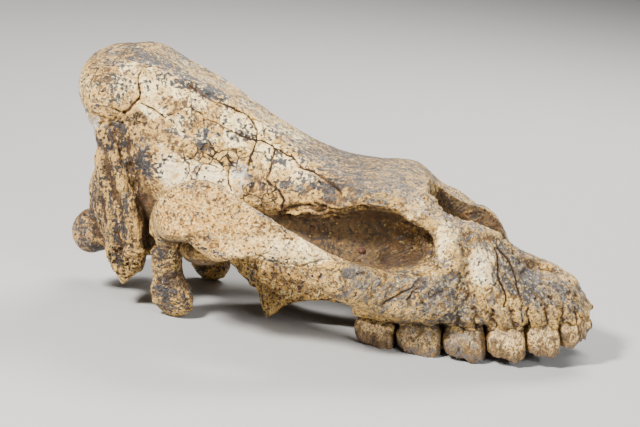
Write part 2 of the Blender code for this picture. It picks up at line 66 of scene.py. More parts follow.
def new_object(name, bm):
    data = bpy.data.meshes.new(name)
    bm.to_mesh(data)
    bm.free()
    obj = bpy.data.objects.new(name, data)
    bpy.context.scene.collection.objects.link(obj)
    return obj


def applied(obj):
    """Turns an object's modifiers into its mesh."""
    graph = bpy.context.evaluated_depsgraph_get()
    data = bpy.data.meshes.new_from_object(obj.evaluated_get(graph))
    obj.modifiers.clear()
    obj.data = data
    return obj


def gum_height(x, arch=GUM_ARCH):
    """Height of the bone's lower edge at a place along the jaw, in metres."""
    nearest = np.interp(x, SOCKETS, range(len(SOCKETS)))
    return float(np.interp(x, *zip(*GUM_LINE))) + arch * math.cos(2 * math.pi * nearest)


def crown_space():
    """The block of air under the gum line, where the tooth crowns go."""
    bm = bmesh.new()
    rims = []
    bottom, half_width, steps = -0.1, 0.2, 120
    for y in (-half_width, half_width):
        outline = [(x, y, gum_height(x)) for x in np.linspace(JAW_REAR, JAW_FRONT, steps)]
        outline += [(JAW_FRONT, y, bottom), (JAW_REAR, y, bottom)]
        rims.append([bm.verts.new(p) for p in outline])
    bm.faces.new(rims[0])
    bm.faces.new(rims[1])
    for i in range(len(rims[0])):
        bm.faces.new((rims[0][i - 1], rims[0][i], rims[1][i], rims[1][i - 1]))
    bmesh.ops.recalc_face_normals(bm, faces=bm.faces)
    return new_object("crown_space", bm)


JOINT_ROOF = ((-120, 92, 126), (28, 34, 17))  # middle and radii in mm: bone over each jaw joint


def raw_bone():
    """All the solids as one fine skin, without the tooth crowns."""
    air = crown_space()
    whole = bmesh.new()
    for side in (1, -1):
        (x, y, z), radii = JOINT_ROOF
        shape = Matrix.Translation(Vector((x, y * side, z)) / 1000) @ Matrix.Diagonal((*radii, 1000)) * 0.001
        bmesh.ops.create_icosphere(whole, subdivisions=4, radius=1, matrix=shape)
    for name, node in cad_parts.items():
        bm = bmesh.new()
        bm.from_mesh(node.data)
        bmesh.ops.remove_doubles(bm, verts=bm.verts, dist=1e-6)
        bm.transform(LEVEL)
        bone = new_object("swollen_" + name, bm)
        if name.startswith("maxilla"):
            cut = bone.modifiers.new("crowns", "BOOLEAN")
            cut.object = air
            cut.operation = "DIFFERENCE"
        swell = bone.modifiers.new("touch", "DISPLACE")
        swell.strength = TOUCHING
        swell.mid_level = 0
        whole.from_mesh(applied(bone).data)
        bpy.data.objects.remove(bone)
    bpy.data.objects.remove(air)
    skin = new_object("raw_bone", whole)
    fuse = skin.modifiers.new("fuse", "REMESH")
    fuse.mode = "VOXEL"
    fuse.voxel_size = GRAIN
    return applied(skin)


def numbers(items, key, kind, per_item, columns):
    """A value of many mesh items as an array with that many columns."""
    values = np.empty(len(items) * per_item, kind)
    items.foreach_get(key, values)
    return values.reshape(-1, columns)


skin = raw_bone()
points = numbers(skin.data.vertices, "co", float, 3, 3)
faces = numbers(skin.data.loops, "vertex_index", int, 1, 4)
edges = numbers(skin.data.edges, "vertices", int, 2, 2)
neighbours = np.bincount(edges.ravel(), minlength=len(points))
bpy.data.objects.remove(skin)


def averaged(values, rounds):
    """Each vertex's values drawn halfway to its neighbours', again and again."""
    values = np.array(values, float).reshape(len(points), -1)
    for _ in range(rounds):
        for column in values.T:
            total = np.bincount(edges[:, 0], column[edges[:, 1]], len(points))
            total += np.bincount(edges[:, 1], column[edges[:, 0]], len(points))
            column += 0.5 * (total / neighbours - column)
    return values.squeeze()


def outward():
    """The unit normal at each vertex."""
    a, b, c, d = (points[faces[:, k]] for k in range(4))
    across = np.cross(c - a, d - b)
    normals = np.empty_like(points)
    for axis in range(3):
        normals[:, axis] = sum(np.bincount(faces[:, k], across[:, axis], len(points)) for k in range(4))
    return normals / np.maximum(np.linalg.norm(normals, axis=1, keepdims=True), 1e-12)


worn = averaged(points, WEAR_ROUNDS) - points
points += worn * np.minimum(1, WEAR_LIMIT / np.maximum(np.linalg.norm(worn, axis=1, keepdims=True), 1e-9))
normals = outward()
place = points.copy()  # where each vertex lies before the carving; every pattern is read here


def step(values, low, high):
    """A soft step from 0 at low to 1 at high."""
    t = np.clip((values - low) / (high - low), 0, 1)
    return t * t * (3 - 2 * t)


def shift(centre, radii, move):
    """Draws the bone inside a ball-like patch along by a move in millimetres, less towards its edge."""
    reach = np.linalg.norm((place * 1000 - centre) / radii, axis=1)
    points[:] += (1 - step(reach, 0.15, 1.5))[:, None] * np.array(move) / 1000


# Growth and breakage that the plain solids leave out: centre, radii and move, first on both sides.
for centre, radii, move in (
    ((-242, 68, 184), (22, 36, 40), (-9, 0, 0)),
    ((-124, 162, 142), (30, 22, 16), (0, 0, 8)),
    ((-150, 88, 52), (26, 30, 30), (8, 0, -1)),
    ((-254, 76, 262), (18, 26, 13), (1, 0, -10)),
    ((-256, 74, 236), (16, 26, 9), (8, 0, 0)),
):
    shift(centre, radii, move)
    shift((centre[0], -centre[1], centre[2]), radii, move)
for centre, radii, move in (
    ((-205, 0, 325), (60, 100, 20), (0, 0, 2.5)),
    ((-264, 0, 302), (18, 100, 34), (-2, 0, 0)),
    ((114, 42, 174), (24, 34, 22), (-1, 0, -11)),
    ((142, 46, 154), (20, 34, 18), (0, 0, -8)),
    ((178, 46, 122), (14, 30, 14), (1, 0, 5)),
    ((262, 0, 64), (16, 50, 13), (1, 0, 5)),
    ((280, 0, 54), (16, 60, 13), (-4, 0, 0)),
    ((286, 0, 41), (15, 60, 11), (-4, 0, 0)),
    ((288, 0, 45), (14, 60, 8), (-4, 0, 0)),
):
    shift(centre, radii, move)

# ---------------- the braincase
# A long vault of thin outer bone, smooth and cream where it is sound. The weight of the earth
# broke it into plates that were glued back, so dark cracks part it and some edges stand proud.


def cloud(size, octaves=4, stretch=(1, 1, 1), shift=0.0, where=None):
    """Cloudy values from about -1 to 1, with lumps of that size in metres."""
    spots = place if where is None else place[where]
    spots = spots / (size * np.array(stretch)) + shift
    values = np.array([noise.fractal(p, 1.0, 2.0, octaves) for p in spots.tolist()])
    if where is None:
        return values
    whole = np.zeros(len(points))
    whole[where] = values
    return whole


RAGGED = cloud(0.022, 5)  # unevenness of the edges of every patch
STRAY = 0.0022  # how far a drawn line strays from its points
WANDER = STRAY * np.stack([cloud(0.011, 3, shift=s) for s in (11.3, 27.1, 43.7)], axis=1)


def patch(centre, radii, ragged=0.35, soft=0.5):
    """1 inside a ball-like patch and 0 outside, with a soft ragged edge; sizes in millimetres."""
    reach = np.linalg.norm((place * 1000 - centre) / radii, axis=1)
    return 1 - step(reach + ragged * RAGGED, 1 - soft / 2, 1 + soft / 2)


def patches(*rows):
    """Several patches as one; each row holds what patch takes."""
    return np.maximum.reduce([patch(*row) for row in rows])


def raise_by(height):
    """Moves the surface out along its normals by a height at each vertex."""
    points[:] += normals * height[:, None]


SOUND = patches(
    ((-140, 0, 300), (95, 110, 42), 0.15), ((-60, 0, 240), (75, 90, 42), 0.2),
    ((-135, 0, 200), (42, 90, 20), 0.2),
)
raise_by(0.0010 * cloud(0.050, 3) * (1 - 0.5 * SOUND))
raise_by(0.00045 * cloud(0.013, 3) * (1 - 0.75 * SOUND))

# depth and half width in millimetres, then the line; the skull's right side first
RIGHT_CRACKS = (
    (0.9, 0.78, ((-165, -40, 309), (-175, -46, 313), (-188, -56, 315), (-191, -64, 306),
         (-190, -66, 299))),
    (1.2, 0.86, ((-190, -66, 299), (-189, -68, 290), (-190, -71, 284))),
    (2.6, 1.25, ((-190, -71, 284), (-196, -73, 279), (-199, -75, 274), (-205, -76, 270))),
    (1.4, 1.01, ((-205, -76, 270), (-210, -79, 273), (-216, -84, 277))),
    (0.9, 0.70, ((-189, -71, 280), (-176, -68, 273), (-169, -67, 268), (-163, -66, 263),
         (-158, -63, 266))),
    (0.9, 0.70, ((-158, -63, 266), (-150, -58, 269), (-144, -54, 272), (-138, -51, 272))),
    (0.7, 0.62, ((-142, -39, 293), (-140, -44, 284), (-138, -51, 272), (-137, -57, 259),
         (-135, -62, 246))),
    (1.2, 0.78, ((-142, -39, 293), (-133, -38, 286), (-119, -36, 276), (-100, -30, 267), (-81, -27, 256))),
    (1.5, 0.94, ((-81, -27, 256), (-71, -32, 242), (-71, -40, 232), (-73, -47, 223), (-76, -52, 215),
         (-77, -54, 210))),
    (1.0, 0.70, ((-138, -51, 271), (-130, -50, 266), (-119, -49, 257), (-107, -47, 251), (-87, -44, 239))),
    (1.4, 0.86, ((-87, -44, 239), (-72, -40, 233), (-65, -37, 232), (-52, -37, 224), (-33, -40, 214),
         (-21, -47, 204))),
    (1.6, 0.94, ((-21, -47, 204), (-9, -50, 200), (1, -54, 196), (12, -60, 190), (20, -67, 186),
         (26, -73, 182))),
    (0.5, 0.55, ((-191, -66, 299), (-201, -71, 298), (-207, -80, 293), (-214, -84, 285))),
    (0.6, 0.62, ((-136, -57, 258), (-129, -53, 259), (-121, -51, 257))),
    (0.5, 0.55, ((-163, -66, 263), (-170, -70, 256), (-174, -72, 250))),
    (2.0, 1.09, ((-52, -38, 222), (-53, -44, 215), (-55, -52, 201), (-59, -57, 194), (-53, -58, 188),
         (-44, -61, 181))),
    (2.4, 1.25, ((-44, -61, 181), (-38, -64, 172), (-42, -65, 164))),
    (1.3, 0.86, ((-101, -59, 221), (-94, -60, 210), (-98, -63, 204), (-98, -65, 195), (-95, -66, 183))),
    (1.0, 0.70, ((-131, -67, 202), (-126, -67, 212), (-117, -65, 212), (-109, -64, 207),
         (-100, -63, 205))),
    (1.0, 0.70, ((-168, -71, 224), (-168, -70, 217))),
    (0.5, 0.55, ((-166, -69, 198), (-157, -69, 190))),
    (1.0, 0.70, ((-158, -70, 233), (-150, -69, 225), (-141, -68, 212), (-140, -68, 205),
         (-144, -68, 197))),
)
LEFT_CRACKS = (
    (1.2, 0.86, ((-205, 80, 292), (-188, 66, 284), (-176, 66, 271), (-160, 66, 262), (-149, 58, 268))),
    (0.9, 0.70, ((-188, 66, 284), (-181, 52, 303), (-168, 42, 310), (-150, 26, 302))),
    (1.4, 0.86, ((-149, 58, 268), (-128, 50, 262), (-108, 47, 253), (-84, 42, 240), (-66, 40, 226),
         (-40, 42, 213))),
    (0.9, 0.70, ((-128, 50, 262), (-133, 60, 247), (-126, 65, 232), (-134, 67, 214), (-128, 67, 198))),
    (1.8, 1.01, ((-84, 42, 240), (-78, 50, 222), (-84, 58, 207), (-76, 62, 190), (-82, 65, 178))),
    (1.2, 0.78, ((-40, 42, 213), (-20, 50, 202), (-4, 56, 190), (4, 66, 178))),
    (0.8, 0.70, ((-40, 42, 213), (-44, 52, 200), (-36, 60, 184), (-40, 64, 172))),
    (0.8, 0.70, ((-66, 40, 226), (-54, 30, 234), (-48, 16, 236))),
)
PLATE_STEP = 0.0005  # how far one edge of a broken plate stands over the other
DEPTH_SHARE = 0.2  # how much of the distance across the skull counts in a line's distance
crack = np.zeros(len(points))


def apart(line, reach=0.012, side=1, wander=1.0):
    """How far each vertex lies from a line of (x, y, z) millimetre points, up to reach, in metres."""
    line = np.array(line, float) / 1000 * (1, side, 1)
    spots = place + WANDER * wander
    gap = np.full(len(points), reach)
    for start, end in zip(line, line[1:]):
        margin = np.array((reach, reach / DEPTH_SHARE, reach))
        low, high = np.minimum(start, end) - margin, np.maximum(start, end) + margin
        close = np.flatnonzero(((spots > low) & (spots < high)).all(axis=1))
        along = (spots[close] - start) @ (end - start) / ((end - start) @ (end - start))
        off = spots[close] - start - np.clip(along, 0, 1)[:, None] * (end - start)
        off[:, 1] *= DEPTH_SHARE
        gap[close] = np.minimum(gap[close], np.linalg.norm(off, axis=1))
    return gap


def hump(values, middle, reach):
    """A bell shape: 1 at the middle, and soon nothing past its reach."""
    return np.exp(-(((values - middle) / reach) ** 2))


def split(line, depth, half_width, darkness, reach):
    """Cuts a crack along a line, and says how far each vertex lies from it, in millimetres."""
    gap = apart(line, reach, wander=0.5) * 1000
    profile = hump(gap, 0, half_width)
    crack[:] = np.maximum(crack, profile * darkness)
    raise_by(-0.001 * depth * profile)
    return gap


for depth, half_width, line in (*RIGHT_CRACKS, *LEFT_CRACKS):
    gap = split(line, depth, half_width, darkness=min(1, 0.35 + depth / 1.6), reach=0.012)
    raise_by(PLATE_STEP * hump(gap, 3.2, 1.6) * depth * 0.5)
crack *= np.clip(0.72 + 0.9 * cloud(0.016, 3, shift=51.0), 0.2, 1)

# Low ridges run from the crest to the brow, where the chewing muscle began; they hold the rust.
RUSTY_RIDGES = (
    ((-146, 32, 299), (-117, 32, 283), (-98, 26, 270), (-79, 20, 259), (-58, 22, 244), (-37, 26, 229),
     (-18, 26, 218), (-1, 32, 209), (15, 36, 202)),
    ((-106, 35, 270), (-88, 31, 259), (-68, 29, 247), (-50, 32, 233), (-31, 36, 220)),
)
rusty = np.zeros(len(points))
for line in RUSTY_RIDGES:
    for side in (1, -1):
        gap = apart(line, side=side, wander=0.5) * 1000
        rusty = np.maximum(rusty, hump(gap, 0, 1.5))
        raise_by(0.0010 * hump(gap, 1.2, 1.6))

# The plates meet in a crumbled band along the lower wall, with a worn hollow below the crest.
CRUMBLED = patches(
    ((-128, -67, 222), (34, 30, 11)), ((-92, -60, 214), (18, 30, 14)), ((-150, 66, 226), (40, 30, 9)),
    ((-200, -76, 262), (20, 30, 10)), ((-206, 76, 262), (18, 30, 10)), ((-60, 66, 180), (30, 20, 12)),
    ((-68, -60, 176), (22, 14, 14)),
)
raise_by(0.0014 * CRUMBLED * cloud(0.0065, 3, (1.6, 1, 0.8)) - 0.0006 * CRUMBLED)
PINHOLES = ((-208, -76, 259, 2.2), (-150, 67, 236, 1.8), (-118, 66, 219, 1.5), (-96, -46, 246, 1.0))
pinhole = np.zeros(len(points))
for x, y, z, radius in PINHOLES:
    away = np.linalg.norm(place * 1000 - (x, y, z), axis=1)
    pinhole = np.maximum(pinhole, hump(away, 0, radius))
raise_by(-0.0035 * pinhole)
# A glossy grey film was left by the glue.
GLAZE = patches(((-87, -62, 196), (9, 12, 15), 0.8, 1.0), ((-236, -80, 262), (12, 16, 9), 0.8, 1.0))
raise_by(0.0006 * GLAZE)

# ---------------- the forehead
# The roof runs forward in long fibres, a little sunk between the two temporal lines, and ends
# in a broken edge where the nose bones came away. Under it the eye socket's roof is layered.
SHOWS = 0.01  # a mark weaker than this isn't worked on
ROOF = step(normals[:, 2], 0.55, 0.85) * step(place[:, 2] - 0.140 + 0.35 * place[:, 0], 0, 0.03)
FIBRES = cloud(0.0030, 2, (9, 1, 3), where=np.flatnonzero(ROOF > SHOWS))
raise_by(0.00028 * ROOF * FIBRES)


def ridge(line, width, height, side=1, wander=1.0):
    """Raises a rounded ridge, or with a negative height sinks a groove, along a line."""
    raise_by(height * hump(apart(line, 3 * width, side, wander), 0, width))


def ridges(*rows, sides=(1, -1)):
    """Ridges or grooves told as rows of width, height and line, on both sides of the skull."""
    for width, height, line in rows:
        for side in sides:
            ridge(line, width, height, side)


ridges(
    (0.0045, 0.0012, ((-215, -56, 316), (-163, -43, 306), (-132, -34, 291), (-91, -26, 266),
                      (-40, -29, 229), (6, -47, 202), (43, -62, 192), (80, -71, 188))),
    (0.004, -0.0009, ((-91, -20, 266), (-40, -22, 231), (6, -38, 206), (43, -52, 196), (80, -60, 190))),
)
BROKEN_FRONT = patch((112, 0, 178), (14, 62, 22), 0.5)
raise_by(0.0016 * BROKEN_FRONT * cloud(0.008, 3))


def both_sides(centre, radii, ragged=0.35):
    """The same patch on both sides of the skull."""
    x, y, z = centre
    return patches((centre, radii, ragged), ((x, -y, z), radii, ragged))


# Thin layers of bone hang in broken shelves over the temple.
SHELVES = both_sides((-5, 56, 158), (46, 26, 17), 0.3)
where = np.flatnonzero(SHELVES > SHOWS)
layer = (place[:, 2] - 0.12 * place[:, 0]) / 0.0115 + 1.1 * cloud(0.035, 3, where=where)
layer = layer - np.floor(layer)
raise_by(SHELVES * (0.0068 * layer**2 - 0.0030) * (0.6 + 0.8 * cloud(0.02, 2, shift=3.0, where=where)))
raise_by(SHELVES * 0.0018 * cloud(0.008, 3, where=where))
ridges(
    (0.0028, 0.0020, ((-42, -65, 168), (-26, -65, 172), (-6, -67, 174), (14, -73, 167), (36, -77, 170))),
    (0.0022, -0.0030, ((-40, -64, 163), (-20, -64, 167), (2, -66, 168), (22, -72, 162), (44, -76, 164))),
)
raise_by(-0.006 * patch((50, -77, 166), (7, 12, 5), 0.2))

# ---------------- the back of the skull
# The neck muscles held to this plate, so it is drawn into upright ribs and furrows. Its lower
# corners are broken off and show spongy bone, and the two knuckles for the neck stay smooth.
NAPE = (1 - step(place[:, 0], -0.200, -0.188)) * (1 - step(place[:, 2], 0.245, 0.262))
KNUCKLE = both_sides((-262, 42, 132), (34, 26, 30), 0.1)
NAPE *= (1 - KNUCKLE) * step(place[:, 2], 0.085, 0.10)
where = np.flatnonzero(NAPE > SHOWS)
raise_by(NAPE * 0.0015 * (1 - 2.2 * np.abs(cloud(0.009, 2, (1, 1, 6), where=where))))
raise_by(NAPE * 0.0009 * cloud(0.0040, 3, (1, 1, 4.5), 5.0, where=where))
raise_by(NAPE * 0.0009 * cloud(0.012, 3, shift=9.0, where=where))
ridges(
    (0.0045, 0.0036, ((-231, -78, 253), (-221, -80, 236), (-216, -80, 218), (-210, -81, 197),
                      (-203, -83, 180), (-200, -90, 161), (-194, -90, 142), (-192, -86, 118))),
    (0.0045, 0.0030, ((-236, -76, 250), (-231, -85, 223), (-227, -85, 198), (-222, -84, 175),
                      (-224, -83, 153), (-228, -81, 122))),
    (0.0038, -0.0042, ((-231, -80, 238), (-224, -82, 215), (-219, -82, 190), (-213, -84, 168),
                       (-212, -84, 140), (-214, -82, 122))),
    (0.004, -0.0030, ((-205, -78, 212), (-197, -76, 190), (-192, -74, 172))),
)
ridge(((-262, 0, 240), (-256, 0, 205), (-262, 0, 180)), 0.006, 0.0030)
raise_by(-0.0045 * both_sides((-250, 24, 222), (24, 17, 22)))
SPONGY = both_sides((-215, 84, 103), (20, 18, 20), 0.3)
raise_by(-0.0030 * both_sides((-243, 60, 140), (10, 14, 12), 0.3))
for x, z in ((-204, 133), (-198, 124), (-207, 122)):
    ridges((0.0024, 0.0022, ((x - 8, -92, z + 2), (x, -94, z), (x + 7, -92, z - 4))))

# ---------------- the crest over the nape
# A thick rounded roll of bone, sound above and rough below where muscle and filler were.
UNDER_CREST = patches(
    ((-236, -70, 264), (22, 34, 12), 0.4), ((-236, 66, 264), (22, 40, 12), 0.4),
    ((-258, 0, 262), (20, 60, 12), 0.4),
)
raise_by(0.0018 * UNDER_CREST * cloud(0.007, 4))
FILLER = patches(((-226, -80, 267), (12, 12, 7), 0.4), ((-212, 80, 266), (9, 12, 5), 0.4))
raise_by(0.0008 * FILLER)

# ---------------- the cheek arches
# Heavy bars of dense bone from the jaw joint to the face. Their skin is pricked all over with
# fine holes, and a wavy joint shows where the cheek bone laps under the temple's branch.
ARCH = both_sides((-70, 160, 165), (105, 34, 60), 0.1)
PROCESS = both_sides((-160, 88, 92), (38, 34, 60), 0.1)
raise_by(0.0007 * np.maximum(ARCH, PROCESS) * cloud(0.009, 3))
raise_by(-0.0016 * both_sides((-2, 165, 113), (26, 12, 10), 0.3))
raise_by(0.0012 * both_sides((-8, 165, 142), (26, 10, 9), 0.2))
raise_by(-0.0018 * both_sides((-120, 158, 176), (18, 14, 14), 0.3))
ridges(
    (0.0016, -0.0016, ((-46, -165, 138), (-22, -165, 128), (0, -164, 125), (12, -163, 129),
                       (21, -161, 132), (36, -154, 130))),
    (0.0030, 0.0014, ((-88, -167, 134), (-58, -168, 137), (-30, -166, 132))),
    (0.009, -0.0016, ((-112, -158, 150), (-90, -165, 153), (-66, -168, 150))),
)
raise_by(0.0016 * patches(((52, -145, 96), (17, 26, 15)), ((40, 148, 96), (20, 26, 14))))
ridges(
    (0.0016, -0.0013, ((60, -142, 114), (46, -150, 111), (38, -152, 98), (44, -146, 84))),
    (0.0012, -0.0018, ((76, -128, 78), (93, -120, 84), (104, -114, 90), (112, -108, 98))),
    (0.0012, -0.0016, ((60, 138, 82), (76, 128, 92), (96, 116, 104))), sides=(1,),
)

# ---------------- the face and upper jaw
# Two tall plates of bone that hold the cheek teeth. Over the roots the bone has worn through,
# so each root stands out as a rib between furrows, and the gum line is a crumbling edge.
FACE = step(place[:, 0], 0.085, 0.110) * (1 - step(place[:, 2], 0.150, 0.175))
raise_by(0.0011 * FACE * cloud(0.012, 4))
raise_by(0.00045 * FACE * cloud(0.0045, 3))
ROOTS = (
    # foot and head of each root's rib: x and y at the gum line, x, y and z above
    (118, 78, 112, 88, 68), (140, 80, 138, 86, 66), (157, 79, 157, 86, 74), (177, 77, 172, 82, 66),
    (194, 74, 190, 78, 66), (214, 68, 208, 71, 62), (230, 61, 226, 63, 60), (247, 50, 243, 52, 60),
    (262, 39, 258, 40, 57), (274, 26, 270, 28, 53),
)
RIB_FOOT = 34  # height in mm at which the ribs and the furrows between them begin
ROOT_FURROW = 0.0020  # half width of the furrows
open_furrows = np.clip(0.6 + cloud(0.009, 3, shift=5.0), 0, 1)
for side in (1, -1):
    for foot_x, foot_y, head_x, head_y, head_z in ROOTS:
        rib = (foot_x, -foot_y, RIB_FOOT), (head_x, -head_y, head_z)
        ridge(rib, 0.0052, 0.0015, side, wander=2.0)
    for first, second in zip(ROOTS, ROOTS[1:]):
        x, y = (first[0] + second[0]) / 2, (first[1] + second[1]) / 2
        top = (first[4] + second[4]) / 2 - 8
        gap = apart(((x, -y, RIB_FOOT), (x - 2, -y - 2, top)), 0.008, side, wander=2.0)
        raise_by(-0.0027 * hump(gap, 0, ROOT_FURROW))
        crack = np.maximum(crack, 0.8 * hump(gap, 0, ROOT_FURROW / 1.4) * open_furrows)
ALVEOLAR = step(place[:, 0], 0.03, 0.05) * (1 - step(place[:, 2], 0.046, 0.066))
where = np.flatnonzero(ALVEOLAR > SHOWS)
raise_by(ALVEOLAR * (0.0010 * cloud(0.0075, 3, where=where) + 0.0006))
JAW_CRACKS = (
    (1.6, 1.01, ((184, -55, 119), (187, -57, 113), (189, -61, 102), (188, -66, 94), (191, -69, 85),
         (197, -71, 71), (195, -74, 60))),
    (1.6, 1.01, ((187, -52, 119), (199, -53, 103), (204, -54, 92), (207, -58, 83), (209, -61, 75),
         (211, -62, 68), (212, -66, 56), (213, -69, 44))),
    (1.0, 0.78, ((240, -30, 82), (243, -34, 76), (243, -38, 70))),
    (0.9, 0.78, ((223, -52, 80), (226, -54, 72), (226, -56, 64))),
    (1.2, 0.86, ((100, -118, 78), (106, -114, 86), (112, -110, 92))),
    (1.5, 0.94, ((120, -72, 160), (117, -66, 168), (112, -60, 172))),
    (1.3, 0.94, ((178, 58, 112), (186, 62, 98), (194, 66, 84), (196, 72, 70))),
    (1.1, 0.86, ((210, 54, 86), (214, 58, 74), (220, 62, 62))),
    (1.2, 0.86, ((140, 86, 132), (150, 88, 112), (160, 88, 96), (158, 86, 80))),
)
for depth, half_width, line in JAW_CRACKS:
    split(line, depth, half_width, darkness=0.9, reach=0.008)
PITTED = patches(
    ((155, -91, 80), (11, 16, 10), 0.5), ((147, 92, 82), (13, 16, 9), 0.5),
    ((262, -24, 56), (10, 14, 8), 0.4), ((258, 30, 56), (10, 14, 8), 0.4),
    ((240, -50, 56), (9, 14, 10), 0.4), ((176, -76, 52), (14, 16, 8), 0.4),
)
raise_by(-0.0026 * PITTED * np.abs(cloud(0.006, 3)) - 0.0004 * PITTED)
raise_by(0.0016 * both_sides((172, 70, 106), (13, 18, 18), 0.3))
ridges(
    (0.0045, 0.0018, ((108, -112, 76), (120, -107, 88), (130, -103, 97), (138, -98, 104))),
    (0.0035, -0.0016, ((118, -106, 72), (132, -102, 82), (144, -96, 92))),
)
RIGHT_RIM = (
    (114, -46, 172), (131, -55, 158), (153, -52, 148), (179, -47, 138), (201, -38, 117), (215, -33, 94),
)
RIM = np.maximum(hump(apart(RIGHT_RIM, 0.02), 0, 0.007), patch((190, 42, 112), (50, 14, 42), 0.3))
raise_by(0.0020 * RIM * cloud(0.0080, 4))

# ---------------- the base and its wings
# The underside: a rough keel of bone, with thin broken wings that stood beside the throat.
BASE = (1 - step(place[:, 2], 0.095, 0.125)) * (1 - step(place[:, 0], 0.02, 0.05))
raise_by(BASE * 0.0010 * cloud(0.010, 4))
ridges(
    (0.0018, -0.0016, ((-82, -38, 120), (-80, -40, 100), (-76, -42, 78), (-72, -42, 52))),
    (0.004, 0.0014, ((-60, -44, 96), (-40, -46, 84), (-10, -48, 76))),
)

# ---------------- the fine skin
# Everywhere the surface is lightly gritty, and open pores show where the outer layer is gone.
normals = averaged(outward(), 2)
normals /= np.linalg.norm(normals, axis=1, keepdims=True)
rough = np.clip(1.0 - 0.85 * SOUND - 0.8 * KNUCKLE, 0.1, 1) + 0.8 * CRUMBLED
raise_by(0.00022 * rough * cloud(0.0022, 2))
where = np.flatnonzero(SPONGY > SHOWS)
raise_by(-0.0022 * SPONGY * step(np.abs(cloud(0.0042, 2, where=where)), 0.05, 0.5))
holes = cloud(0.0026, 1, shift=71.0)
POROUS = np.clip(ARCH + PROCESS + 0.5 * FACE + 0.6 * BASE + 0.4 * NAPE, 0, 1) * (1 - CRUMBLED)
raise_by(-0.0007 * POROUS * step(holes, 0.28, 0.55))

# ---------------- staining and painted shade
# Ages in wet ground left iron (ochre), manganese (blue grey) and dark earth in the bone. Each
# stain is a value from 0 to 1 carried by the surface, and the finishes below break it up.


def most(one_side, on_both=()):
    """The strongest of several patches: centre x, y, z and three radii in millimetres, and strength."""
    mirrored = [(x, -y, *rest) for x, y, *rest in on_both]
    rows = (*one_side, *on_both, *mirrored)
    return np.maximum.reduce([row[6] * patch(row[:3], row[3:6], 0.75, 1.5) for row in rows])
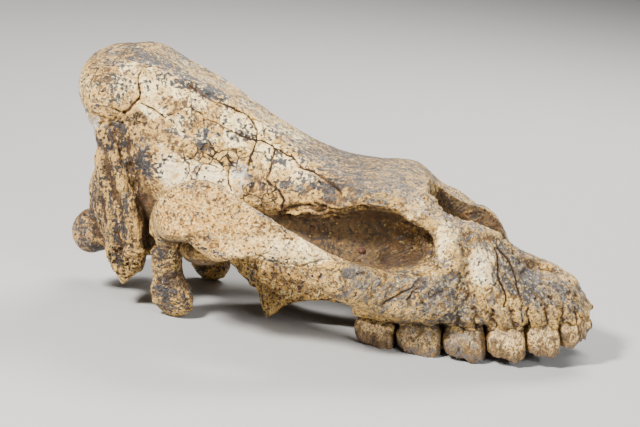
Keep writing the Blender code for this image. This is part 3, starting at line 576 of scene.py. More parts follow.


# How deep each spot lies in a crease (above 0) or stands on a ridge (below 0); the finish paints shade in
# the creases and a highlight on the ridges from it.
hollow = np.einsum("ij,ij->i", averaged(points, 22) - points, normals) / 0.001
pale = most((
    (-140, 0, 300, 90, 110, 40, 0.8), (-60, 0, 242, 75, 90, 40, 0.9), (-159, -69, 206, 20, 16, 22, 1.6),
    (-118, -66, 198, 26, 16, 16, 1.4), (-120, 66, 202, 50, 14, 24, 0.6), (-220, 0, 300, 44, 110, 40, 0.5),
    (-16, -163, 142, 42, 18, 16, 1.4), (-10, 162, 142, 42, 16, 16, 1.0), (139, -88, 136, 10, 12, 20, 1.4),
    (172, -72, 106, 13, 14, 22, 1.8), (108, -70, 170, 18, 14, 10, 0.8), (139, 88, 134, 9, 12, 22, 0.8),
    (178, 70, 100, 16, 12, 18, 0.8), (255, 0, 80, 26, 24, 10, 0.7), (-20, -50, 206, 40, 26, 14, 1.0),
))
pale *= 1 - 0.5 * ROOF
blue = most((
    (-185, -38, 322, 36, 16, 9, 1.0), (-160, -26, 310, 24, 10, 8, 1.0), (-229, -78, 306, 16, 20, 22, 0.55),
    (-117, -30, 281, 36, 12, 9, 1.3), (-140, -36, 293, 26, 12, 9, 1.1), (-186, -70, 209, 15, 16, 17, 1.0),
    (-122, -62, 230, 16, 16, 9, 0.8), (62, -143, 101, 24, 16, 18, 0.75), (125, -106, 91, 15, 14, 12, 1.0),
    (98, -112, 99, 13, 14, 8, 0.7), (212, -60, 80, 13, 16, 18, 1.0), (236, -46, 70, 17, 18, 14, 0.9),
    (220, -28, 90, 20, 14, 8, 0.8), (169, -78, 44, 9, 14, 10, 0.8), (-224, -84, 186, 14, 20, 34, 0.75),
    (-214, -88, 148, 13, 20, 34, 0.75), (-160, -97, 84, 18, 26, 20, 0.7),
    (-166, -110, 122, 12, 20, 16, 0.6), (-78, -38, 238, 10, 14, 12, 0.7), (60, -60, 190, 60, 30, 8, 0.7),
    (40, -84, 177, 60, 20, 9, 0.5), (20, 0, 205, 140, 74, 18, 0.72), (-30, -166, 128, 40, 14, 7, 0.8),
    (-186, 40, 322, 36, 20, 12, 0.8), (-120, 60, 240, 30, 16, 16, 0.7), (-180, 72, 220, 18, 16, 20, 0.9),
    (120, 100, 90, 30, 18, 14, 0.9), (205, 60, 84, 24, 18, 24, 0.9), (240, 46, 66, 17, 18, 14, 0.8),
    (-222, 84, 170, 16, 20, 50, 0.75), (-162, 98, 86, 18, 26, 24, 0.7), (60, 140, 100, 26, 16, 16, 0.6),
    (-255, 0, 200, 20, 50, 36, 0.6), (-150, 0, 100, 60, 40, 20, 0.6), (60, 0, 60, 70, 40, 20, 0.6),
    (200, -56, 95, 24, 20, 28, 1.15), (224, -46, 78, 32, 30, 22, 1.1), (165, -66, 128, 20, 16, 9, 0.7),
    (128, -103, 88, 28, 22, 15, 1.15), (140, -84, 50, 44, 30, 14, 1.2), (140, 84, 50, 44, 30, 14, 1.0),
    (100, -116, 84, 26, 18, 14, 0.7), (150, -90, 66, 24, 18, 14, 0.75), (-250, -60, 165, 22, 26, 24, 0.8),
    (-258, -44, 136, 26, 26, 20, 0.75), (196, -46, 118, 24, 14, 12, 0.7), (205, 56, 92, 30, 18, 26, 0.8),
    (128, 103, 88, 30, 20, 16, 0.8), (-250, 60, 165, 22, 26, 24, 0.7), (-190, -10, 318, 60, 70, 26, 0.48),
    (-215, -80, 246, 22, 24, 16, 0.9), (-215, 80, 246, 22, 24, 16, 0.8), (-225, -50, 290, 30, 70, 40, 0.45),
    (130, -90, 54, 40, 34, 16, 0.62), (180, -76, 50, 36, 30, 12, 0.5), (225, -60, 52, 30, 30, 14, 0.62),
    (262, -26, 54, 18, 34, 16, 0.68), (246, -40, 68, 26, 26, 14, 0.9), (130, 90, 54, 40, 34, 16, 0.6),
    (225, 60, 52, 30, 30, 14, 0.6), (-100, -50, 250, 60, 30, 14, 0.4), (20, -60, 190, 90, 26, 9, 0.75),
    (58, -145, 104, 28, 20, 18, 0.85), (-30, -42, 218, 60, 18, 8, 0.6), (-60, -30, 236, 60, 14, 9, 0.6),
    (-156, -95, 70, 22, 26, 26, 0.65),
), (
    (-262, -42, 130, 34, 28, 30, 0.8),
))
ochre = most((
    (-50, -168, 155, 40, 14, 18, 0.6), (-19, -50, 72, 60, 24, 26, 0.8), (-50, 50, 74, 60, 24, 26, 0.8),
    (-194, -75, 266, 13, 12, 10, 0.9), (-244, 0, 266, 14, 90, 12, 0.9), (156, -76, 122, 9, 12, 24, 0.7),
    (13, -73, 168, 44, 14, 8, 0.8), (47, -82, 171, 30, 14, 8, 0.8), (13, 73, 168, 60, 14, 8, 0.8),
    (-262, 0, 132, 34, 80, 34, 0.6), (-200, -92, 128, 12, 14, 12, 0.8), (-228, -80, 220, 10, 10, 26, 0.7),
    (-140, 0, 100, 120, 40, 24, 0.5), (-222, 80, 210, 12, 14, 36, 0.7), (180, 0, 130, 70, 52, 44, 0.35),
), (
    (-90, -165, 178, 44, 20, 28, 0.7), (100, -50, 126, 40, 44, 22, 0.9), (120, -80, 50, 90, 24, 8, 0.6),
    (20, -150, 108, 34, 20, 14, 0.6),
))
ochre = np.maximum(ochre, 1.5 * rusty)
earth_and_shade = most((
    (-30, -40, 140, 46, 24, 20, 1.3), (15, -38, 132, 44, 30, 22, 1.15), (-30, 40, 140, 46, 24, 20, 0.9),
    (15, 38, 132, 44, 30, 22, 0.9), (170, 0, 92, 70, 40, 26, 0.8), (120, 0, 130, 30, 40, 30, 0.7),
    (20, 0, 66, 66, 24, 26, 0.9), (-235, 0, 148, 30, 18, 16, 0.9), (92, -50, 102, 30, 26, 20, 0.9),
    (52, -50, 150, 12, 30, 10, 0.8), (108, -60, 128, 12, 30, 26, 0.8),
), (
    (60, -40, 122, 44, 34, 18, 0.75), (-191, -66, 156, 11, 22, 36, 1.0), (-150, -60, 100, 22, 40, 22, 0.8),
    (-5, -44, 122, 60, 26, 20, 1.0), (45, -49, 106, 50, 24, 18, 1.0), (-120, -92, 116, 32, 36, 18, 1.0),
    (150, -80, 42, 70, 30, 7, 0.5), (-20, -66, 166, 44, 16, 8, 0.6), (48, -44, 128, 30, 26, 16, 1.0),
    (-262, -42, 126, 34, 28, 26, 0.42),
))
earth_and_shade = np.maximum(earth_and_shade, 0.8 * pinhole)
# Painted shade: walls facing into the nose, the undersides at the jaw joints and, more weakly, every surface
# that faces down join the earth mark and are darkened with it.
inner_wall_shade = step(-normals[:, 1] * np.sign(place[:, 1]), 0.15, 0.6) * patch((150, 0, 134), (80, 72, 66), 0.2)
underside_shade = step(-normals[:, 2], 0.1, 0.7)
golden = most((
    (-30, -165, 142, 40, 24, 24, 0.4),
), (
    (-85, -165, 172, 70, 30, 44, 0.85),
))
face = step(place[:, 0], 0.020, 0.070)
snout = step(place[:, 0], 0.150, 0.180)
joint = both_sides((-118, 112, 128), (52, 64, 34), 0.2)
earth_and_shade = np.maximum.reduce([earth_and_shade, inner_wall_shade, underside_shade * joint, 0.38 * underside_shade])
earth_and_shade *= 1 - 0.6 * both_sides((92, 62, 116), (44, 30, 40), 0.5)


def solid_faces():
    """The twelve solids in the level frame as one tree of faces, and the solid that owns each face."""
    corners, polygons, owners = [], [], []
    for order, node in enumerate(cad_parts.values()):
        base = len(corners)
        corners.extend(LEVEL @ v.co for v in node.data.vertices)
        polygons.extend([base + i for i in p.vertices] for p in node.data.polygons)
        owners.extend([order] * len(node.data.polygons))
    return BVHTree.FromPolygons(corners, polygons), owners


solids, owners = solid_faces()
SHELTER_CELL = 0.006  # the shelter is read once for each cube of this size
SHELTER_REACH = 0.11
SHELTER_RAYS = 40
LIFT = 0.003  # a reading starts that far off the bone
FACING = 0.1  # rays that run closer along the bone than this don't count


# The finish paints this as shade: spots that other bone shuts in are darkened.
def shade_by_occlusion():
    """How much of the open air each spot is cut off from by other bone, from 0 to 1."""
    cells = np.round(place / SHELTER_CELL)
    _, first, own = np.unique(cells, axis=0, return_index=True, return_inverse=True)
    turns = np.arange(SHELTER_RAYS) * math.pi * (3 - math.sqrt(5))
    heights = 1 - (2 * np.arange(SHELTER_RAYS) + 1) / SHELTER_RAYS
    around = np.sqrt(1 - heights**2)
    rays = np.stack([around * np.cos(turns), around * np.sin(turns), heights], axis=1)
    shares = []
    for spot, normal in zip(place[first], normals[first]):
        facing = rays @ normal
        lifted = Vector(spot + normal * LIFT)
        shut = 0.0
        for k in np.flatnonzero(facing > FACING):
            if solids.ray_cast(lifted, Vector(rays[k]), SHELTER_REACH)[0] is not None:
                shut += facing[k]
        shares.append(shut / facing[facing > FACING].sum())
    return averaged(np.array(shares)[own.ravel()], 25)


marks = {
    "pale": pale, "blue": blue, "ochre": ochre, "earth_and_shade": earth_and_shade, "crack": crack, "hollow": hollow,
    "porous": np.clip(POROUS, 0, 1), "glaze": GLAZE, "roof": ROOF, "crumbled": CRUMBLED, "nape": NAPE,
    "shade_by_occlusion": shade_by_occlusion(), "golden": golden, "face": face, "snout": snout,
}

# ---------------- the twelve bones
# The skin is parted where the nearest solid changes, so each bone is a piece of its own that
# meets its neighbours edge to edge. All share one finish, since the stains run across them.
BONE_TONES = dict(
    cream=(1.0, 0.77, 0.35, 1), cream_warm=(0.66, 0.39, 0.11, 1), tan=(0.12, 0.060, 0.018, 1),
    tan_light=(0.70, 0.41, 0.10, 1), ochre=(0.19, 0.075, 0.013, 1), ochre_deep=(0.050, 0.022, 0.006, 1),
    blue=(0.044, 0.044, 0.048, 1), blue_light=(0.20, 0.195, 0.19, 1), blue_dark=(0.011, 0.011, 0.013, 1),
    earth_and_shade=(0.060, 0.031, 0.011, 1), dark_earth_and_shade=(0.010, 0.006, 0.003, 1), crack=(0.011, 0.006, 0.002, 1),
    golden=(0.86, 0.44, 0.085, 1), grey=(0.52, 0.50, 0.46, 1), white=(1.0, 0.90, 0.62, 1),
)


class Wire:
    """A shader value that takes ordinary arithmetic and draws its own nodes."""

    def __init__(self, tree, socket=None):
        self.tree, self.socket = tree, socket

    def node(self, kind, settings=None, **inputs):
        made = self.tree.nodes.new(kind)
        for key, value in (settings or {}).items():
            setattr(made, key, value)
        for key, value in inputs.items():
            target = made.inputs[int(key[1:]) if key[1:].isdigit() else key.replace("_", " ")]
            if isinstance(value, Wire):
                self.tree.links.new(value.socket, target)
            else:
                target.default_value = value
        return made

    def take(self, kind, settings=None, output=0, **inputs):
        return Wire(self.tree, self.node(kind, settings, **inputs).outputs[output])

    def maths(self, operation, first, second):
        return self.take("ShaderNodeMath", {"operation": operation}, _0=first, _1=second)

    def __add__(self, other):
        return self.maths("ADD", self, other)

    def __sub__(self, other):
        return self.maths("SUBTRACT", self, other)

    def __rsub__(self, other):
        return self.maths("SUBTRACT", other, self)

    def __mul__(self, other):
        return self.maths("MULTIPLY", self, other)

    __radd__, __rmul__ = __add__, __mul__

    def soft_step(self, low, high):
        """0 below low, 1 above high, smooth between."""
        settings = {"interpolation_type": "SMOOTHSTEP"}
        return self.take("ShaderNodeMapRange", settings, Value=self, From_Min=low, From_Max=high)

    def mark(self, name):
        return self.take("ShaderNodeAttribute", {"attribute_name": name}, output="Fac")

    def grain(self, at, scale, detail=4.0, coarse=0.6):
        """Noise with that many lumps to the metre, most of it between -1 and 1."""
        sizes = [coarse**k for k in range(int(detail) + 1)]
        spread = 4 * sum(sizes) / math.sqrt(sum(size * size for size in sizes))
        cloudy = self.take("ShaderNodeTexNoise", Vector=at, Scale=scale, Detail=detail, Roughness=coarse)
        return (cloudy - 0.5) * spread

    def colour_grain(self, at, scale):
        """Noise in all three channels, to push a pattern about."""
        return self.take("ShaderNodeTexNoise", output="Color", Vector=at, Scale=scale, Detail=2.0)

    def cells(self, at, scale, feature="F1"):
        """Distance to the nearest of scattered points."""
        settings = {"feature": feature}
        return self.take("ShaderNodeTexVoronoi", settings, output="Distance", Vector=at, Scale=scale)

    def turned(self, at, angle):
        return self.take("ShaderNodeMapping", Vector=at, Rotation=(0, angle, 0))

    def fibres(self, at, scale, detail=5.0, coarse=0.62):
        """Noise drawn out into fibres, with that many to the metre along each axis."""
        return self.grain(self.take("ShaderNodeMapping", Vector=at, Scale=scale), 1.0, detail, coarse)

    def blend(self, under, over, share):
        """Colour under, covered by colour over by that share."""
        settings = {"data_type": "RGBA", "clamp_factor": True}
        return self.take("ShaderNodeMix", settings, output=2, _0=share, _6=under, _7=over)

    def coat(self, over, share):
        """Covers what has been painted so far by a colour."""
        self.colour = self.blend(self.colour, over, share)


def finish(name):
    """A Principled material and the pen that draws its nodes."""
    material = bpy.data.materials.new(name)
    material.use_nodes = True
    pen = Wire(material.node_tree)
    shader = material.node_tree.nodes["Principled BSDF"]
    return material, pen, shader


def connect(pen, shader, socket, wire):
    pen.tree.links.new(wire.socket, shader.inputs[socket])


def bumped(pen, shader, height, depth, strength=1.0):
    """Relief of that depth in metres."""
    bump = pen.take("ShaderNodeBump", Strength=strength, Distance=depth, Height=height)
    connect(pen, shader, "Normal", bump)


CHEEK_FLOW, SNOUT_FLOW = math.radians(38), math.radians(-65)  # how the grain of the face bones runs
FLOW = (48.0, 260.0, 260.0)


def bone_finish():
    tone = BONE_TONES
    material, pen, shader = finish("old_bone")
    at = pen.take("ShaderNodeTexCoord", output="Object")
    broad = pen.grain(at, 15.0, 3.0)
    middle = pen.grain(at, 52.0, 8.0, 0.68)
    other = pen.grain(at, 97.0, 7.0, 0.68)
    small = pen.grain(at, 200.0, 5.0, 0.62)
    speck = pen.grain(at, 310.0, 2.0, 0.5)
    fine = pen.grain(at, 900.0, 2.0, 0.6)
    along = pen.fibres(at, (45.0, 430.0, 430.0))
    upright = pen.fibres(at, (380.0, 380.0, 60.0))
    roof, nape, blue, porous, crumbled = map(pen.mark, ("roof", "nape", "blue", "porous", "crumbled"))
    sound, golden, face, snout = map(pen.mark, ("pale", "golden", "face", "snout"))
    rising = pen.fibres(pen.turned(at, CHEEK_FLOW), FLOW)
    falling = pen.fibres(pen.turned(at, SNOUT_FLOW), FLOW)
    flow = (rising * (1 - snout) + falling * snout) * face

    # Sound bone is cream and bone that has lost its outer layer is tan.
    bare = (other * 0.7 + small * 0.6 + broad * 0.3).soft_step(-0.75, 0.35)
    pen.colour = pen.blend(tone["tan"], tone["tan_light"], bare)
    cream = pen.blend(tone["cream_warm"], tone["cream"], (broad * 0.6 + middle * 0.7).soft_step(-0.7, 0.25))
    white = (small * 0.6 + speck * 0.5 + middle * 0.3 + sound - 0.9).soft_step(-0.1, 0.9)
    cream = pen.blend(cream, tone["white"], white * 0.8)
    pale = (sound * 2.3 - 0.85 + middle * 0.8 + small * 0.5 - crumbled * 1.1).soft_step(-0.35, 0.45)
    pen.coat(cream, pale)
    # Iron stains it in clouds and along a net of hairline cracks.
    ochre = pen.mark("ochre") * 1.1 - 0.60 + other * 0.8 + small * 0.5 + flow * 0.5 - sound * 0.8
    pen.coat(tone["ochre"], ochre.soft_step(-0.3, 0.9) * 0.75 * (1 - golden * 0.6))
    warm = (golden + small * 0.25 + speck * 0.15).soft_step(0.1, 0.9)
    pen.coat(tone["golden"], warm * 0.62)
    push = pen.colour_grain(at, 120.0)
    bent = pen.take("ShaderNodeVectorMath", {"operation": "MULTIPLY_ADD"}, _0=push, _1=(0.006,) * 3, _2=at)
    veins = pen.cells(bent, 70.0, "DISTANCE_TO_EDGE")
    rust = (1 - veins.soft_step(0.0, 0.06)) * (broad + small * 0.6 - pale * 0.2).soft_step(0.1, 0.8)
    pen.coat(tone["ochre_deep"], rust * 0.7)

    # Manganese lies on it as a blue grey film, in streaks where the bone is fibrous, and as specks.
    streaks = roof * along + nape * upright
    thin = (small * 0.7 + speck * 0.5 + other * 0.3 + flow * 0.4).soft_step(-0.7, 0.8)
    film = pen.blend(tone["blue"], tone["blue_light"], thin)
    mottle = (middle * 0.8 + other * 0.3) * (1 - face * 0.4)
    mottle = mottle + (small * 0.6 + speck * 0.45) * (1 - face * 0.65)
    stain = blue * 1.6 * (1 - roof * 0.6) - 0.68 + roof * 0.50 + mottle + streaks * 1.3
    stain = (stain + flow * 1.5 - sound * 0.35).soft_step(-0.10, 0.40)
    pen.coat(film, stain * 0.93)
    dense = blue * 1.05 + roof * 0.10 - sound * 0.22 - golden * 0.4
    flecks = speck * 0.8 + small * 0.6 + dense + middle * 0.3 + streaks * 0.45 + flow * 0.4
    flecks = flecks.soft_step(0.64, 0.78) * (1 - stain * face * 0.6)
    pen.coat(tone["blue_dark"], flecks * 0.88)

    # Open pores and scuffed, lighter grains.
    pits = 1 - pen.cells(bent, 270.0).soft_step(0.24, 0.40)
    pits = pits * (small * 0.6 + porous * 1.3 - 0.75).soft_step(-0.3, 0.3)
    pen.coat(tone["ochre_deep"], pits * 0.85 * (1 - golden * 0.45))
    light = (speck * 0.8 + small * 0.4 - middle * 0.25 + porous * 0.15).soft_step(0.30, 0.65) * (1 - flecks)
    pen.coat(tone["cream"], light * 0.65 * (1 - pale * 0.6))

    # Ridges are painted lighter as a painted highlight and creases darker as painted shade; dark earth mixed
    # with painted shade covers the earth mark and the spots that other bone shuts in.
    hollow, occlusion_shade = pen.mark("hollow"), pen.mark("shade_by_occlusion")
    # painted highlight along the ridges
    edge = (0 - hollow * 2.2 + small * 0.5).soft_step(0.35, 1.3)
    pen.coat(tone["tan_light"], edge * 0.6 * (1 - flecks))
    # painted shade and earth together: the earth mark, the occlusion and the undersides
    mud_and_shade = pen.mark("earth_and_shade") * 1.9 + occlusion_shade * 1.9 - 1.2 - golden * 0.3 + other * 0.5 + small * 0.45
    mud_and_shade = mud_and_shade.soft_step(-0.35, 0.75)
    soil_and_shade = pen.blend(tone["dark_earth_and_shade"], tone["earth_and_shade"], (small * 0.7 + middle * 0.5).soft_step(-0.7, 0.5))
    soil_and_shade = pen.blend(soil_and_shade, tone["ochre"], (speck * 0.7 + small * 0.5).soft_step(0.25, 0.7) * 0.7)
    pen.coat(soil_and_shade, mud_and_shade * 0.88)
    # painted shade in the creases
    pen.coat(tone["ochre_deep"], (hollow * 2.2 + small * 0.3).soft_step(0.15, 1.1) * 0.85)
    glaze = pen.mark("glaze")
    glued = glaze * (middle * 0.8 + small * 0.4 + 0.4).soft_step(0.0, 1.0)
    pen.coat(tone["grey"], glued * 0.75)
    crack = pen.mark("crack")
    pen.coat(tone["ochre"], (crack * 1.3 + small * 0.35).soft_step(0.15, 0.75) * 0.6)
    crevice = (crumbled * 1.2 + small * 0.5 + other * 0.4 - 0.35).soft_step(0.0, 0.6)
    crevice = crevice * (1 - veins.soft_step(0.0, 0.10))
    gap = (crack * 1.3 + crevice + fine * 0.12 + small * 0.22).soft_step(0.50, 0.95)
    pen.coat(tone["crack"], gap * 0.92)
    connect(pen, shader, "Base Color", pen.colour)

    dull = (0.45 + small * 0.09 + mud_and_shade * 0.3 + gap * 0.2 + pits * 0.2 - pale * 0.06) - glaze * 0.30
    connect(pen, shader, "Roughness", dull)
    relief = small * 0.16 + speck * 0.10 + fine * 0.05 - pits - gap + streaks * 0.2 - flecks * 0.15
    relief = (relief - rust * 0.5 + flow * 0.25) * (1 - glaze * 0.8) * (1 - pale * 0.45)
    bumped(pen, shader, relief, 0.0030)
    return material


old_bone = bone_finish()


def part_bones():
    """One object for each CAD bone, cut from the common skin."""
    names = list(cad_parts)
    owner = np.array([owners[solids.find_nearest(p)[2]] for p in place[faces].mean(axis=1).tolist()])
    turn = np.array(AT_REST.to_3x3()).T
    lying = points @ turn + np.array(REST_SHIFT)
    lying[:, 2] = np.maximum(lying[:, 2], 0.0)
    facing = outward() @ turn
    for order, name in enumerate(names):
        kept, own = np.unique(faces[owner == order], return_inverse=True)
        data = bpy.data.meshes.new(name + "_bone")
        data.vertices.add(len(kept))
        data.vertices.foreach_set("co", lying[kept].ravel())
        data.loops.add(own.size)
        data.loops.foreach_set("vertex_index", own.ravel())
        data.polygons.add(own.size // 4)
        data.polygons.foreach_set("loop_start", np.arange(own.size // 4) * 4)
        data.update(calc_edges=True)
        data.shade_smooth()
        data.normals_split_custom_set_from_vertices(facing[kept].tolist())
        for mark, values in marks.items():
            data.attributes.new(mark, "FLOAT", "POINT").data.foreach_set("value", values[kept])
        data.materials.append(old_bone)
        bone = bpy.data.objects.new(name + "_bone", data)
        bpy.context.scene.collection.objects.link(bone)
        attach(bone, "root")
        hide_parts(name)


part_bones()

# ---------------- earth left in the hollows
# Crumbs of dried clay and grit that the brush did not reach. They still cling inside the eye
# sockets, the temples and the nose; one is a red pebble lodged under the right eye socket.
CRUMB_LEAST, CRUMB_MOST = 0.0004, 0.0017
CRUMBS_TO_A_SQUARE_METRE = 9000
CRUMB_SEED = 7
EARTHY = 0.62  # crumbs cling where the earth-and-shade mark is stronger than this
STEEPEST = -0.3  # and where the surface doesn't face further down than this
NOSE_START, SOCKET_START, SOCKET_FLOOR = 0.125, -0.06, 0.09  # x of both hollows' rear ends, z of a floor


def clay_finish(name, under, over):
    material, pen, shader = finish(name)
    at = pen.take("ShaderNodeTexCoord", output="Object")
    share = pen.grain(at, 420.0, 3.0).soft_step(-0.6, 0.7)
    connect(pen, shader, "Base Color", pen.blend(under, over, share))
    shader.inputs["Roughness"].default_value = 0.9
    return material


CLAY = clay_finish("crumb_clay", BONE_TONES["earth_and_shade"], (0.36, 0.22, 0.06, 1))
RED_STONE = clay_finish("red_stone", (0.05, 0.016, 0.008, 1), (0.13, 0.045, 0.020, 1))


def lump(name, middle, radii):
    """A small uneven stone; sizes in millimetres, in the level frame."""
    bm = bmesh.new()
    bmesh.ops.create_icosphere(bm, subdivisions=2, radius=1)
    for v in bm.verts:
        v.co *= 1 + 0.3 * noise.fractal(v.co * 0.9 + Vector(middle), 1.0, 2.0, 3)
        v.co = AT_REST @ ((v.co * Vector(radii) + Vector(middle)) / 1000)
    return new_object(name, bm)


def crumb_tree():
    """Scatters an object over a surface at random sizes and turns."""
    tree = bpy.data.node_groups.new("crumbs", "GeometryNodeTree")
    inputs = {
        "Surface": "NodeSocketGeometry", "Crumb": "NodeSocketObject", "Density": "NodeSocketFloat",
        "Least": "NodeSocketFloat", "Most": "NodeSocketFloat", "Seed": "NodeSocketInt",
        "Material": "NodeSocketMaterial",
    }
    for name, kind in inputs.items():
        tree.interface.new_socket(name, in_out="INPUT", socket_type=kind)
    tree.interface.new_socket("Crumbs", in_out="OUTPUT", socket_type="NodeSocketGeometry")
    entry = tree.nodes.new("NodeGroupInput")
    given = {name: Wire(tree, entry.outputs[name]) for name in inputs}
    pen, seed = Wire(tree), given["Seed"]
    spots = pen.take(
        "GeometryNodeDistributePointsOnFaces", Mesh=given["Surface"], Density=given["Density"], Seed=seed
    )
    crumb = pen.take("GeometryNodeObjectInfo", output="Geometry", Object=given["Crumb"])
    turn = pen.take("FunctionNodeRandomValue", {"data_type": "FLOAT_VECTOR"}, _1=(6.28,) * 3, Seed=seed)
    limits = dict(_2=given["Least"], _3=given["Most"])
    size = pen.take("FunctionNodeRandomValue", {"data_type": "FLOAT"}, output=1, Seed=seed, **limits)
    pose = dict(Rotation=turn, Scale=size)
    placed = pen.take("GeometryNodeInstanceOnPoints", Points=spots, Instance=crumb, **pose)
    real = pen.take("GeometryNodeRealizeInstances", Geometry=placed)
    clay = pen.take("GeometryNodeSetMaterial", Geometry=real, Material=given["Material"])
    tree.links.new(clay.socket, tree.nodes.new("NodeGroupOutput").inputs[0])
    return tree


def crumbs(name, chosen):
    """Crumbs on the chosen faces of the skin."""
    bm = bmesh.new()
    kept, own = np.unique(faces[chosen], return_inverse=True)
    corners = [bm.verts.new(AT_REST @ Vector(p)) for p in points[kept].tolist()]
    for quad in own.reshape(-1, 4).tolist():
        bm.faces.new([corners[i] for i in quad])
    surface = new_object(name, bm)
    grain = lump("grain", (0, 0, 0), (1000, 700, 800))
    grain.data.transform(AT_REST.inverted())
    scatter = surface.modifiers.new("crumbs", "NODES")
    scatter.node_group = CRUMB_TREE
    values = {
        "Crumb": grain, "Density": CRUMBS_TO_A_SQUARE_METRE, "Least": CRUMB_LEAST, "Most": CRUMB_MOST,
        "Seed": CRUMB_SEED, "Material": CLAY,
    }
    for socket in CRUMB_TREE.interface.items_tree:
        if socket.name in values:
            scatter[socket.identifier] = values[socket.name]
    applied(surface)
    bpy.data.objects.remove(grain)
    surface.data.materials.clear()
    surface.data.materials.append(CLAY)
    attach(surface, "root")


CRUMB_TREE = crumb_tree()
centres = place[faces].mean(axis=1)
earthy = (earth_and_shade[faces].min(axis=1) > EARTHY) & (normals[faces[:, 0], 2] > STEEPEST)
for side, hand in ((1, "left"), (-1, "right")):
    near = earthy & (centres[:, 1] * side > 0)
    in_nose = near & (centres[:, 0] > NOSE_START)
    in_socket = near & (centres[:, 0] < NOSE_START) & (centres[:, 0] > SOCKET_START)
    in_socket &= centres[:, 2] > SOCKET_FLOOR
    crumbs("crumbs_in_the_nose_" + hand, in_nose)
    crumbs("crumbs_in_the_socket_" + hand, in_socket)
pebble = lump("red_pebble", (39, -45, 113), (4.6, 3.2, 3.0))
pebble.data.shade_smooth()
pebble.data.materials.append(RED_STONE)
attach(pebble, "root")

# ---------------- the cheek teeth
# Seven to a side, ground low by use: a hard enamel coat, ribbed on its outer wall, round a core
# of softer dentine that has worn to basins. Each stands in its socket on roots that show above.
TEETH = (
    # middle of the crown (x, y), length, width, lowest point, rise to the rear, all in millimetres,
    # and turn inwards in degrees
    ("molar_3", 55.5, 58.0, 44, 40, 9.0, 14, -8),
    ("molar_2", 103.0, 62.0, 48, 47, 3.5, 12, -2),
    ("molar_1", 150.5, 62.0, 45, 46, -0.6, 11, 3),
    ("premolar_4", 193.0, 57.0, 41, 44, -1.2, 9, 10),
    ("premolar_3", 229.0, 46.0, 37, 38, -0.4, 7, 20),
    ("premolar_2", 255.5, 33.0, 27, 28, 5.0, 6, 32),
    ("premolar_1", 271.0, 21.0, 16, 15, 10.5, 4, 48),
)
AROUND = 88  # points round a crown
PEAK = 0.26  # of the length: where the cutting edge hangs lowest, ahead of the middle
SPAN_BEHIND, SPAN_AHEAD = 0.72, 0.28  # of the length: how far the edge climbs on either side
WHOLE = 45  # length of a crown with a full cutting edge; that of a shorter one is flatter
SQUARE_LONG, SQUARE_WIDE = 0.42, 0.45  # powers below 1 make the crown's outline squarer than an ellipse
ENAMEL = 1.6
NECK = 2.5  # how far above the gum line the crown ends
ROOT_TOP = 8.0  # how far the roots run on above the gum line
ROOT_LEAN = 5.0  # and how far they lean inwards there
CLEFT, FORK = 2.6, 4.6  # depth of the fold in the inner wall, and of the groove between the outer roots
BASIN, VALLEY, PIT = 1.6, 6.0, 4.5  # depth of the worn dentine, of the cross valley and of the rear one
# height (0 at the cutting edge, 1 at the gum line, then up the root) and share of the full width there
WALL = ((1.30, 0.54), (1.15, 0.62), (1.0, 0.70), (0.88, 0.77), (0.76, 0.86), (0.66, 0.94), (0.52, 1.0),
        (0.36, 1.01), (0.20, 1.01), (0.09, 0.99), (0.02, 0.97), (0.0, 0.94))
# height in mm, place and reach along the crown, from the front: a fold, a strong rib, a long wave
WALL_FOLDS = (
    (1.2, 0.42, 0.06), (-1.5, 0.33, 0.05), (1.6, 0.18, 0.10), (-1.4, -0.05, 0.08), (1.2, -0.27, 0.12),
)
TOOTH_TONES = dict(
    enamel=(0.12, 0.066, 0.022, 1), enamel_light=(0.70, 0.44, 0.155, 1), brown=(0.085, 0.046, 0.024, 1),
    grey=(0.060, 0.062, 0.068, 1), dentine=(0.12, 0.070, 0.028, 1), pit=(0.012, 0.008, 0.005, 1),
)


def tooth_finish(name, brownness, bloom):
    """Enamel with its stains: brownness darkens a young tooth, bloom is the grey of old roots."""
    tone = TOOTH_TONES
    material, pen, shader = finish(name)
    at = pen.take("ShaderNodeTexCoord", output="Object")
    middle = pen.grain(at, 95.0, 6.0, 0.65)
    small = pen.grain(at, 300.0, 4.0, 0.6)
    upright = pen.fibres(at, (520.0, 520.0, 110.0), 3.0, 0.55)
    wear, root = pen.mark("wear"), pen.mark("root")
    clouds = (middle * 0.7 + small * 0.6 + upright * 0.4).soft_step(-0.45, 0.55)
    pen.colour = pen.blend(tone["enamel"], tone["enamel_light"], clouds)
    light = (small * 0.8 + middle * 0.5 - upright * 0.3).soft_step(0.35, 0.8)
    pen.coat(BONE_TONES["cream"], light * 0.75)
    stain = wear * 1.2 + brownness - 0.65 + middle * 0.7 + small * 0.4
    pen.coat(tone["brown"], stain.soft_step(-0.05, 0.55) * 0.85)
    film = root * 0.9 + bloom - 0.58 + middle * 0.8 + small * 0.4 + upright * 0.25
    pen.coat(tone["grey"], film.soft_step(-0.1, 0.5) * 0.8)
    crust = (root - 0.75 + small * 0.6 + middle * 0.4).soft_step(-0.1, 0.5)
    pen.coat(BONE_TONES["tan_light"], crust * 0.8)
    pen.coat(tone["dentine"], pen.mark("dentine") * 0.8)
    holes = (small * 0.7 + upright * 0.45 - middle * 0.3).soft_step(0.50, 0.68)
    pen.coat(tone["pit"], holes * 0.85)
    connect(pen, shader, "Base Color", pen.colour)
    connect(pen, shader, "Roughness", 0.36 + small * 0.09 + holes * 0.3 + root * 0.2 - wear * 0.08)
    relief = small * 0.14 + upright * 0.12 - holes * 0.9 + crust * 0.5
    bumped(pen, shader, relief, 0.0014, 0.8)
    return material


YOUNG_ENAMEL = tooth_finish("young_enamel", 0.45, -0.15)
OLD_ENAMEL = tooth_finish("old_enamel", 0.0, 0.0)
STAINED_ENAMEL = tooth_finish("stained_enamel", 0.16, 0.42)
DARK_ENAMEL = tooth_finish("dark_enamel", 0.30, 0.62)
ENAMEL_OF = dict(molar_3=YOUNG_ENAMEL, molar_2=STAINED_ENAMEL, molar_1=DARK_ENAMEL)


